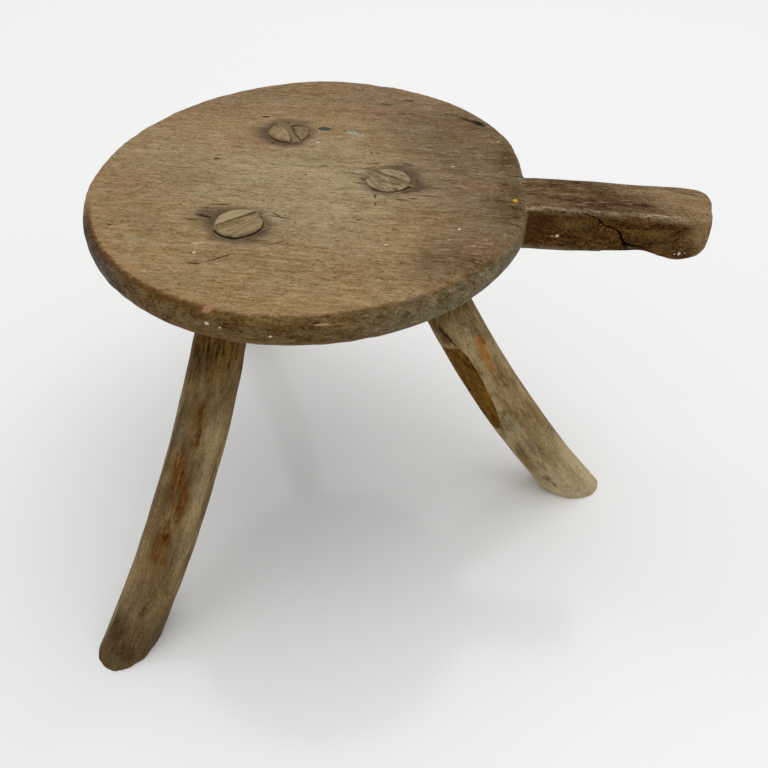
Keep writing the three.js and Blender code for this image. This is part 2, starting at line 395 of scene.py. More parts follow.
def handle_bar():
    shape = bmesh.new()
    bmesh.ops.create_cone(
        shape, cap_ends=True, cap_tris=False, segments=HANDLE_STEPS, radius1=1, radius2=1, depth=1,
        matrix=Matrix.Rotation(math.pi / 2, 4, "Y"))
    long_edges = [edge for edge in shape.edges if abs(edge.verts[0].co.x - edge.verts[1].co.x) > 0.5]
    bmesh.ops.subdivide_edges(shape, edges=long_edges, cuts=HANDLE_CUTS)
    bar = piece_from(shape, "handle_bar")
    points = points_of(bar)
    stops = HANDLE_STATIONS[:, 0]
    x = stops[0] + (stops[-1] - stops[0]) * (points[:, 0] + 0.5)
    front, back, top, bottom, corner = (
        eased(x, stops, HANDLE_STATIONS[:, i]) for i in range(1, 6))
    middle, half, tall = (front + back) / 2, (back - front) / 2, (bottom - top) / 2
    angle = np.arctan2(points[:, 2], points[:, 1])
    c, s = np.cos(angle), np.sin(angle)
    wide, high = np.maximum(np.abs(c), 1e-6), np.maximum(np.abs(s), 1e-6)
    reach = np.minimum(half / wide, tall / high)
    flat_y, flat_z = half - corner, tall - corner
    along = wide * flat_y + high * flat_z
    rounded = along + np.sqrt(np.maximum(along ** 2 - flat_y ** 2 - flat_z ** 2 + corner ** 2, 0))
    reach = np.where((reach * wide > flat_y) & (reach * high > flat_z), rounded, reach)
    y = middle + c * reach
    z = SEAT_HEIGHT - (top + bottom) / 2 + s * reach
    slant = END_SLANT * smoothstep(SLANT_FROM, SLANT_TO, x) * (y - middle)
    move(bar, np.stack((x + slant, y, z), 1))
    return bar


def split_faces(piece, wanted):
    """Doubles the fineness of the mesh where a test on face middles asks for it."""
    shape = bmesh.new()
    shape.from_mesh(piece.data)
    edges = {edge for face in shape.faces if wanted(face.calc_center_median()) for edge in face.edges}
    bmesh.ops.subdivide_edges(shape, edges=list(edges), cuts=1, use_grid_fill=True)
    shape.to_mesh(piece.data)
    shape.free()


def soften(piece, wanted, factor, times):
    shape = bmesh.new()
    shape.from_mesh(piece.data)
    verts = [vert for vert in shape.verts if wanted(vert.co)]
    for _ in range(times):
        bmesh.ops.smooth_vert(
            shape, verts=verts, factor=factor, use_axis_x=True, use_axis_y=True, use_axis_z=True)
    shape.to_mesh(piece.data)
    shape.free()


def weather_seat(seat, legs):
    """The plank's uneven, whittled and rubbed surface, pushed mostly inwards."""
    points, out = points_of(seat), normals_of(seat)
    x, y, z = points.T
    angle, reach = np.arctan2(y, x), np.hypot(x, y)
    gap = outline(angle) - reach
    on_handle = smoothstep(ROOT_FROM, ROOT_TO, x) * (np.abs(y) < HANDLE_HALF)
    upward, downward = smoothstep(0.6, 0.95, out[:, 2]), smoothstep(0.5, 0.95, -out[:, 2])
    aside = 1 - upward - downward
    push = upward * (0.24 * ripple(points, 85, 1) + 0.09 * ripple(points, 20, 2, (3, 1, 1)) - 0.2)
    push += aside * (0.22 * ripple(points, 42, 3) + 0.1 * ripple(points, 13, 4))
    push += downward * (0.5 * ripple(points, 34, 5, (1, 2, 1)) + 0.2 * ripple(points, 11, 6) - 0.3)
    whittled = 0.24 * ripple(points, 28, 7, (3, 1, 1)) + 0.13 * ripple(points, 9, 8, (2.5, 1, 1))
    push = push * (1 - on_handle) + on_handle * whittled
    # the wood sank a little round each tenon
    for leg in legs:
        away = np.hypot(x - leg.hole[0], y - leg.hole[1])
        dip = 0.6 + 0.2 * ripple(points, 11, 9)
        push -= dip * upward * (1 - smoothstep(13, 18, away))
    points = points + out * push[:, None]
    # the sitters' side of the edge is rubbed down, and the whole edge is a little bruised
    rubbed = window(angle, -0.95, -0.2, 0.3)
    facing = 1 - smoothstep(-0.75, -0.2, np.sin(angle))
    fall = 0.35 + 1.9 * facing + 1.0 * rubbed + 0.35 * np.clip(ripple(points, 15, 10), 0, 2)
    near = 1 - smoothstep(-1, 9 + 6 * rubbed, gap)
    points[:, 2] -= fall * near ** 2 * smoothstep(224, 233, z) * (1 - on_handle)
    move(seat, points)


def handle_marks():
    """The cutters for the splits and gouges of the plank and its handle."""
    front = (0, 9, 0)
    yield slit(
        ((146, -15.5, 236), (152, -18, 234.2), (158.3, -20, 232.2), (162.6, -20, 230.2), (165.2, -20, 227.6),
         (169.6, -20, 226.3), (174.2, -20, 224.0), (176, -20, 221.0), (176.8, -20, 218.8),
         (178.8, -20, 216.8), (181.6, -20, 215.4)),
        (0.3, 0.8, 1.0, 1.5, 1.3, 2.0, 1.8, 2.3, 2.3, 2.7, 1.8), front, 21, 0.35)
    yield slit(
        ((178.5, -20, 216.2), (183, -20, 216.0), (187, -20, 215.2), (191, -20, 213.8)),
        (2.2, 1.5, 1.0, 0.2), (0, 7, 0), 22, 0.25)
    yield slit(
        ((109, 16.6, 236), (113.5, 16.2, 236), (119, 16.2, 236), (124, 16.8, 236)),
        (0.15, 0.9, 1.2, 0.3), (0, 0, -5), 23, 0.15)
    yield slit(
        ((207, 12, 236), (213, 11, 236), (218, 9.8, 236), (223, 8.6, 236)),
        (0.3, 1.1, 1.2, 0.4), (0, 0, -4), 24, 0.2)
    yield slit(
        ((-58, -49.6, 235.6), (-54, -50.6, 235.6), (-50, -51.6, 235.6), (-46, -52.8, 235.6)),
        (0.2, 1.4, 1.3, 0.4), (0, 0, -3.4), 27, 0.15)
    yield slit(
        ((-50.5, -94.4, 235.4), (-46.5, -94.2, 235.4), (-42.6, -93.6, 235.4), (-35.4, -88.2, 235.4),
         (-27, -81.9, 235.4)),
        (0.2, 0.9, 0.7, 0.45, 0.1), (0, 0, -1.7), 28, 0.15)
    yield dent((58.9, -115.6, 233.4), (4.6, 1.8, 1.4), (30, 0, 28))
    yield dent((-61.4, 12.3, 235.0), (1.8, 0.8, 1.7), (0, 0, 8))
    yield dent((-43.9, 70.9, 235.0), (2.6, 0.9, 1.5), (0, 0, 4))
    yield dent((181.8, -19.0, 210.4), (3.2, 1.8, 1.8), (0, 16, 0))
    yield dent((91.8, 81.7, 234.8), (4.4, 1.8, 0.7), (0, 0, -38))


def make_seat(legs):
    seat = seat_disc()
    bar = handle_bar()
    with bpy.context.temp_override(
            active_object=seat, selected_editable_objects=[seat, bar], object=seat):
        bpy.ops.object.join()
    worked(seat, "REMESH", mode="VOXEL", voxel_size=SEAT_VOXEL)
    split_faces(seat, lambda at: at.x > HANDLE_FINE_FROM and abs(at.y) < HANDLE_FINE_HALF)
    soften(seat, lambda at: True, 0.5, 1)
    soften(seat, lambda at: at.x > HANDLE_SOFT_FROM and abs(at.y) < HANDLE_HALF, 0.4, 1)
    weather_seat(seat, legs)
    for leg in legs:
        hole = leg_tube(leg, WEDGE_ABOVE, -SEAT_THICKNESS - HOLE_BELOW, hole_play(leg), rings=HOLE_RINGS)
        move(hole, points_of(hole) + (leg.hole[0], leg.hole[1], SEAT_HEIGHT))
        carve(seat, hole)
    for cutter in handle_marks():
        carve(seat, cutter)
    return seat


# The legs and their wedges

def hole_play(leg):
    """How much wider the bored hole is than the tenon: mostly tight, open on a side or two."""
    _, first, second = leg.axes(np.array(0.0))

    def play(angle, t):
        wider = TENON_PLAY + 0.12 * np.sin(5 * angle + leg.turn)
        for side, most, narrow in leg.wedge["gaps"]:
            way = (math.cos(math.radians(side)), math.sin(math.radians(side)), 0)
            facing = 0.5 + 0.5 * np.cos(angle - math.atan2(second @ way, first @ way))
            wider = wider + most * facing ** narrow
        return wider
    return play


def leg_tube(leg, top, bottom, grow=None, shave=None, rings=LEG_RINGS):
    """The leg between two heights, counted from the seat's top, as a closed tube with level ends."""
    cap = [i / CAP_RINGS for i in range(CAP_RINGS)]
    section = [(share, 1) for share in cap] + [(1, 1 - i / rings) for i in range(rings + 1)]
    section += [(share, 0) for share in reversed(cap)]
    tube = piece_from(turned(section, LEG_STEPS), leg.name + "_tube")
    plan = points_of(tube)
    share = np.minimum(np.hypot(plan[:, 0], plan[:, 1]), 1)
    angle = np.arctan2(plan[:, 1], plan[:, 0])
    start, end = leg.level(angle, top), leg.level(angle, bottom)
    t = start + (end - start) * (1 - plan[:, 2])
    extra = grow(angle, t) if grow else np.zeros(len(t))
    edge, out = leg.surface(angle, t, extra)
    if shave:
        edge += out * shave(leg, angle, leg.along(t), edge)[:, None]
    heights = leg.line(leg.table)[:, 2]
    height = np.where(plan[:, 2] > 0.5, top, bottom)
    centre = leg.line(np.interp(-height, -heights, leg.table))
    inner = share < 1 - TINY
    points = np.where(inner[:, None], centre + (edge - centre) * share[:, None], edge)
    ends = (plan[:, 2] > 1 - TINY) | (plan[:, 2] < TINY)
    points[:, 2] = np.where(ends, height, points[:, 2])
    move(tube, points)
    return tube


def shave_leg(leg, angle, along, edge):
    """How much is off the leg at each point: drawknife waves and a worn foot."""
    place = np.stack((MARK_REACH * np.cos(angle), MARK_REACH * np.sin(angle), along), 1)
    seed = leg.facets * 10 + int(leg.turn * 10)
    below = smoothstep(28, 60, along)
    off = below * (0.42 * ripple(place, 30, seed, (1, 1, 3)) + 0.13 * ripple(place, 8, seed + 1, (1, 1, 3)))
    off -= 0.2 * below
    height = edge[:, 2] + SEAT_HEIGHT
    round_foot = leg.wedge["foot_soft"] * (1 + 0.4 * ripple(place * (1, 1, 0), 24, seed + 2))
    low = np.clip(1 - height / np.maximum(round_foot, 0.3), 0, 1)
    off -= round_foot * (1 - np.sqrt(1 - low ** 2))
    return off + leg.wedge["own"](leg, angle, along)


def front_left_own(leg, angle, along):
    """A long narrow flat down its outer side and the ripples that a blade left near the foot."""
    flat = window(angle, 2.25, 2.75, 0.2) * window(along, 60, 235, 20)
    blade = window(along, 205, 240, 6) * window(angle, 0.1, 1.15, 0.25)
    tip = window(angle, 1.2, 1.95, 0.4) * smoothstep(258, 274, along)
    return 1.3 * tip - 0.35 * flat + 0.26 * blade * np.sin(2 * math.pi * (along + 3 * angle) / 3.6)


def sliver(leg, angle, along):
    """1 where a long sliver has split off the front of the leg, and 0 outside it."""
    stops = np.array((88, 95, 112, 123, 138, 154, 168, 180, 192), float)
    border = np.radians(np.array((118, 108, 98, 84, 82, 86, 92, 101, 118), float))
    line = np.interp(along, stops, border)
    return smoothstep(0, 0.06, angle - line) * (angle < 2.9) * window(along, 122, 183, 14)


def handle_side_own(leg, angle, along):
    """The split left a step down along one side and a flat floor."""
    reach = leg.thickness(angle, np.full(len(angle), 0.45))
    chord = (reach.mean() - 1.7) / np.cos(np.clip(angle - math.radians(128), -1, 1))
    hollow = np.clip(reach - chord, 0, 3) * (np.abs(angle - math.radians(128)) < 0.9)
    return -sliver(leg, angle, along) * (0.6 + hollow * window(along, 100, 176, 10))


def back_own(leg, angle, along):
    return -0.3 * window(angle, -1.2, -0.6, 0.2) * window(along, 70, 230, 25)


def lean(leg):
    """Turns a shape from upright to the slant at which the tenon comes through the seat."""
    upwards = -leg.axes(np.array(0.0))[0]
    return Vector((0, 0, 1)).rotation_difference(Vector(upwards)).to_matrix().to_4x4()


def wedge_blade(leg, margin):
    """The wedge's full tapered blade, before it is trimmed to the tenon."""
    shape = bmesh.new()
    bmesh.ops.create_cube(shape, size=2)
    bmesh.ops.subdivide_edges(shape, edges=shape.edges[:], cuts=3, use_grid_fill=True)
    top, tip = leg.wedge["top"], leg.wedge["tip"]
    slope = (top - tip) / 2 / WEDGE_DEPTH
    low, high = -WEDGE_DEPTH - margin, WEDGE_ABOVE
    place = lean(leg) @ Matrix.Rotation(math.radians(leg.wedge["angle"]), 4, "Z")
    for vert in shape.verts:
        up = low + (high - low) * (vert.co.z + 1) / 2
        half = top / 2 + slope * up + margin
        vert.co = place @ Vector((
            2 * leg.radius[0] * vert.co.x, leg.wedge["offset"] + half * vert.co.y, up))
    return piece_from(shape, leg.name + "_blade")


def depth_in(points, corners):
    """How far points lie inside a closed outline, less than 0 outside it."""
    x, y = points[:, 0], points[:, 1]
    near, inside = np.full(len(points), np.inf), np.zeros(len(points), bool)
    for (ax, ay), (bx, by) in zip(corners, corners[1:] + corners[:1]):
        dx, dy = bx - ax, by - ay
        share = np.clip(((x - ax) * dx + (y - ay) * dy) / (dx * dx + dy * dy), 0, 1)
        near = np.minimum(near, np.hypot(x - ax - share * dx, y - ay - share * dy))
        if ay != by:
            inside ^= ((ay > y) != (by > y)) & (x < ax + dx * (y - ay) / dy)
    return np.where(inside, near, -near)


def rounding(radius, depth):
    """How far a rounded edge falls at a depth inside it, and how far the drop goes on outside."""
    low = np.clip(1 - depth / radius, 0, 1)
    return radius * (1 - np.sqrt(1 - low ** 2)) + DROP_SLOPE * np.clip(-depth, 0, DROP_REACH)


def tenon_relief(leg, points):
    """How far the tenon's end lies below its highest point: two pillowy halves of unlike height."""
    down = leg.axes(np.array(0.0))[0]
    edge = leg.radius[0] - np.linalg.norm(np.cross(points, down), axis=1)
    lowest = np.full(len(points), np.inf)
    for half in leg.wedge["halves"]:
        fall = half["below"] + rounding(half["soft"], depth_in(points, half["corners"]))
        for way_x, way_y, start, slope in half["slopes"]:
            fall += slope * np.clip(way_x * points[:, 0] + way_y * points[:, 1] - start, 0, None)
        lowest = np.minimum(lowest, fall)
    worn = 0.16 * ripple(points * (1, 1, 0), 6, 31 + leg.facets) + 0.05 * ripple(points * (1, 1, 0), 2.4, 32)
    return lowest + rounding(leg.wedge["shoulder"], np.maximum(edge, 0)) + 0.2 + worn


def make_leg(leg):
    tube = leg_tube(leg, leg.proud, -SEAT_HEIGHT, shave=shave_leg)
    points = points_of(tube)
    top = smoothstep(leg.proud - TENON_END, leg.proud, points[:, 2])
    points[:, 2] -= top * np.clip(tenon_relief(leg, points), 0, TENON_FALL)
    move(tube, points)
    carve(tube, wedge_blade(leg, WEDGE_PLAY))
    for cutter in leg.wedge["cuts"](leg):
        carve(tube, cutter)
    return tube


def make_wedge(leg):
    tube = leg_tube(leg, leg.proud - WEDGE_SUNK, -SEAT_THICKNESS, rings=WEDGE_RINGS)
    wedge = carve(wedge_blade(leg, 0), tube, "INTERSECT")
    worked(wedge, "REMESH", mode="VOXEL", voxel_size=WEDGE_VOXEL)
    soften(wedge, lambda at: True, 0.5, 2)
    points, out = points_of(wedge), normals_of(wedge)
    points += out * (0.1 * ripple(points, 5, 41 + leg.facets, (1, 1, 3)) - 0.08)[:, None]
    top = smoothstep(leg.proud - WEDGE_END, leg.proud - WEDGE_SUNK, points[:, 2])
    points[:, 2] -= top * leg.wedge["sunk"]
    move(wedge, points)
    return wedge


def leg_point(leg, angle, along, off=0.0):
    """A point on the leg's surface, given in degrees round it and millimetres along it."""
    t = np.interp(along, leg.lengths, leg.table)
    turn = np.array([math.radians(angle)])
    return leg.surface(turn, np.array([t]), off)[0][0]


def no_cuts(leg):
    return ()


def back_cuts(leg):
    yield dent((-3.6, 5.0, leg.proud - 0.2), (2.6, 0.6, 1.0), (0, 0, -48))
    yield dent((-6.4, 6.6, leg.proud - 0.2), (1.6, 0.6, 0.8), (0, 0, -30))


def handle_side_cuts(leg):
    """The dark split beside the lost sliver, and a shorter one at its end."""
    start, middle, end = (leg_point(leg, *at) for at in ((117, 96), (109, 103.5), (100, 112.5)))
    inward = leg.line(np.interp(105, leg.lengths, leg.table)) - middle
    inward = 6 * inward / np.linalg.norm(inward)
    yield slit((start, middle, end), (0.4, 1.5, 0.5), inward, 25, 0.12)
    start, end = (leg_point(leg, *at) for at in ((101, 163), (100, 176)))
    yield slit((start, (start + end) / 2, end), (0.15, 0.5, 0.15), inward * 0.4, 26, 0.1)


LEGS = (
    Leg("leg_front_left", (-32.3, -56.5), (-97, -175.9), (-1.2, 13), (13.2, 16.3, 16.5), 1.6, 7, 0.2,
        dict(name="wedge_front_left", angle=39, top=2.6, tip=1, offset=2.9, sunk=0.5,
             gaps=((-36, 2.3, 14), (-138, 1.0, 6)), foot_soft=0.7, own=front_left_own,
             cuts=no_cuts, tint=(154, 133, 99), shoulder=2.2, halves=(
                 dict(below=0.0, soft=1.3, slopes=((-0.6, -0.8, 0, 0.05),), corners=[
                     (-11.5, -9.6), (-15, -5), (-14.5, 3), (-10, 10), (-4, 15), (3, 17), (10, 15),
                     (12.5, 11), (7.2, 7.2), (4.9, 4.6), (1.3, 2.4), (-1.4, 1.7), (-2.6, -0.7),
                     (-6.6, -3.7), (-9.4, -6.5)]),
                 dict(below=0.8, soft=1.1, slopes=((0.2, -0.98, 0, 0.05),), corners=[
                     (-12, -11), (-12, -5), (-8, -2.4), (-4, 1), (-2, 3), (0.5, 4.5),
                     (4, 7), (7, 9.5), (13, 12), (17, 5), (16.5, -2), (12.4, -4.4), (10.6, -7),
                     (7.6, -9.4), (5.4, -12.6), (3.4, -18), (-3, -18.5), (-5, -14.2), (-8, -12.3)])))),
    Leg("leg_handle_side", (43.5, 0.5), (185.5, -10.4), (3.2, 10), (13.2, 17.1, 18.0), 0.5, 8, 0.9,
        dict(name="wedge_handle_side", angle=-31, top=2.6, tip=1, offset=2.9, sunk=0.0,
             gaps=((30, 1.9, 12), (-100, 0.5, 6)), foot_soft=1.9, own=handle_side_own,
             cuts=handle_side_cuts, tint=(160, 141, 108), shoulder=0.7, halves=(
                 dict(below=0.0, soft=0.9, slopes=(), corners=[
                     (-11.5, 10.5), (-8, 16.5), (0, 18), (4.8, 14.6), (7.2, 11), (10.2, 6.6), (11.8, 3.3),
                     (11.2, -0.6), (5.6, -0.3), (1.9, 1.3), (-2.2, 4.7), (-6.4, 7.9)]),
                 dict(below=0.25, soft=0.9, slopes=(), corners=[
                     (-11.2, 11.6), (-6.8, 9.4), (-2.6, 6.4), (1.4, 3.4), (5.2, 1.6), (12.8, 0.4),
                     (12.6, -3.0), (10.2, -6.2), (8.4, -8.4), (5.6, -10.4), (2.2, -12.2), (-3.8, -12.8),
                     (-8.4, -12.0), (-13, -12), (-18, -4), (-18, 5), (-14, 10)])))),
    Leg("leg_back", (-25.6, 51.5), (-107.1, 150.4), (14.9, 10), (13, 15.7, 16.2), 1.2, 7, 1.6,
        dict(name="wedge_back", angle=-58, top=4.2, tip=1.2, offset=1.0, sunk=1.0,
             gaps=((-124, 2.9, 7), (-45, 1.4, 18)), foot_soft=1.5, own=back_own,
             cuts=back_cuts, tint=(138, 114, 82), shoulder=1.3, halves=(
                 dict(below=0.0, soft=2.2, slopes=((-1, 0.3, 4, 0.06),), corners=[
                     (-12.2, -5.8), (-16, -2), (-16, 6), (-11, 12), (-5, 16), (-4.4, 9.6), (-2.6, 4.9),
                     (0.2, 0.7), (2.2, -4), (3.4, -9.4), (3.7, -13.4), (0.3, -13.6), (-3.9, -12),
                     (-7.7, -9.8), (-10.5, -7.6)]),
                 dict(below=0.3, soft=1.6, slopes=((-0.1, 1, 4.4, 0.2), (0.9, -0.4, 9, 0.15)), corners=[
                     (-1.5, 18), (6, 19), (13, 14), (17, 6), (17, -2), (13.6, -6.5), (11.4, -9.0),
                     (9.4, -10.5), (7.3, -8), (5, -3.2), (2.8, 3), (-0.2, 9)])))),
)


# Finishes

WOOD_SHEEN = 0.06
TOP = SEAT_HEIGHT


def on_top(x, y, half_x, half_y, turn=0.0):
    return (x, y, TOP), (half_x, half_y, 3.0), turn


def paint(red, green, blue):
    """A colour as it is seen, from 0 to 255, as the light that it sends back."""
    shares = (red / 255, green / 255, blue / 255)
    return tuple(s / 12.92 if s <= 0.04045 else ((s + 0.055) / 1.055) ** 2.4 for s in shares)


def on_values(operation, swapped=False):
    """A method that adds the Math node for one operation on two values."""
    def work_out(self, other):
        first, second = (other, self) if swapped else (self, other)
        return self.tree.node("Math", {"operation": operation}, {0: first, 1: second})
    return work_out


class Value:
    """One socket of a node tree. A sum on it adds the Math node that works it out."""

    def __init__(self, tree, socket):
        self.tree, self.socket = tree, socket

    __add__ = __radd__ = on_values("ADD")
    __sub__, __rsub__ = on_values("SUBTRACT"), on_values("SUBTRACT", swapped=True)
    __mul__ = __rmul__ = on_values("MULTIPLY")
    most = on_values("MAXIMUM")


class Tree:
    """The nodes of a material or of the surround, which starts empty."""

    def __init__(self, owner):
        owner.use_nodes = True
        self.nodes, self.links = owner.node_tree.nodes, owner.node_tree.links
        self.nodes.clear()

    def feed(self, socket, value):
        if isinstance(value, Value):
            self.links.new(value.socket, socket)
        else:
            socket.default_value = value

    def node(self, kind, settings=None, inputs=None, output=0):
        made = self.nodes.new("ShaderNode" + kind)
        for key, value in (settings or {}).items():
            setattr(made, key, value)
        for key, value in (inputs or {}).items():
            self.feed(made.inputs[key], value)
        return Value(self, made.outputs[output])


class Finish(Tree):
    """A material whose colour is laid on in layers."""

    def __init__(self, name):
        self.material = bpy.data.materials.new(name)
        super().__init__(self.material)
        self.shader = self.nodes.new("ShaderNodeBsdfPrincipled")
        shown = self.nodes.new("ShaderNodeOutputMaterial")
        self.links.new(self.shader.outputs["BSDF"], shown.inputs["Surface"])

    def vector(self, operation, first, second):
        slot = 3 if operation == "SCALE" else 1
        return self.node("VectorMath", {"operation": operation}, {0: first, slot: second})

    def parts(self, vector):
        return [self.node("SeparateXYZ", None, {0: vector}, output=i) for i in range(3)]

    def between(self, value, low, high, start=0.0, end=1.0):
        """The value's place between two others, eased, as a share."""
        return self.node(
            "MapRange", {"interpolation_type": "SMOOTHSTEP"},
            {0: value, 1: low, 2: high, 3: start, 4: end})

    def band(self, value, low, high, soft):
        return self.between(value, low - soft, low) * self.between(value, high, high + soft, 1.0, 0.0)

    def grain(self, place, size, seed, detail, rough, turn=0.0):
        """Noise whose bumps have these sizes, turned by some degrees."""
        scaled = self.node("Mapping", {"vector_type": "TEXTURE"}, {
            "Vector": place, "Location": (-seed * size[0], -seed * 1.7 * size[1], -seed * 2.3 * size[2]),
            "Rotation": (0, 0, math.radians(turn)), "Scale": size})
        return self.node(
            "TexNoise", None, {"Vector": scaled, "Scale": 1.0, "Detail": detail, "Roughness": rough})

    def over(self, base, tint, mask):
        """One colour over another where the mask is 1. Plain ones are as seen, from 0 to 255."""
        base, tint = (colour if isinstance(colour, Value) else paint(*colour) for colour in (base, tint))
        return self.node("Mix", {"data_type": "VECTOR"}, {0: mask, 4: base, 5: tint}, output=1)

    def lay(self, tint, mask):
        """Lays one more colour over the finish so far."""
        self.colour = self.over(self.colour, tint, mask)

    def tone(self, tone, share, grey):
        """Makes the colour lighter or darker, partly by a plain grey, as dirt and wear do."""
        scale = 1 + (tone - 1) * share
        lift = (tone - 1) * ((1 - share) * grey)
        self.colour = self.node("VectorMath", {"operation": "MULTIPLY_ADD"}, {
            0: self.colour, 1: self.node("CombineXYZ", None, {0: scale, 1: scale, 2: scale}),
            2: self.node("CombineXYZ", None, {0: lift, 1: lift, 2: lift})})

    def spot(self, place, at, size, turn, soft):
        """1 inside an egg shape of these half sizes, fading to 0 at its skin."""
        local = self.node(
            "Mapping", {"vector_type": "TEXTURE"},
            {"Vector": place, "Location": at, "Rotation": (0, 0, math.radians(turn)), "Scale": size})
        depth = self.node("TexGradient", {"gradient_type": "SPHERICAL"}, {"Vector": local}, output=1)
        return self.between(depth, 0.0, soft)

    def spots(self, place, shapes, soft):
        """Several spots as one mask. Each is its middle, its half sizes and its turn in degrees, or,
        for a mark on the seat's top, just four or five numbers: x, y, half sizes, turn."""
        mask = None
        for shape in shapes:
            at, size, turn = shape if len(shape) == 3 else on_top(*shape)
            one = self.spot(place, at, size, turn, soft)
            mask = one if mask is None else mask.most(one)
        return mask

    def warped(self, place, size, amount, seed):
        """The place, shifted about so that a shape drawn on it gets an uneven border."""
        first = self.grain(place, size, seed, 3.0, 0.6) - 0.5
        second = self.grain(place, size, seed + 40, 3.0, 0.6) - 0.5
        shift = self.node("CombineXYZ", None, {0: first, 1: second, 2: first})
        return self.node("VectorMath", {"operation": "MULTIPLY_ADD"}, {0: shift, 1: amount, 2: place})

    def done(self, roughness, relief, distance, strength):
        """The material, with its colour, roughness and relief wired up and the faint sheen of dry wood."""
        relief = self.node("Bump", None, {"Height": relief, "Distance": distance, "Strength": strength})
        for name, value in (("Base Color", self.colour), ("Roughness", roughness), ("Normal", relief),
                            ("Specular IOR Level", WOOD_SHEEN)):
            self.feed(self.shader.inputs[name], value)
        return self.material


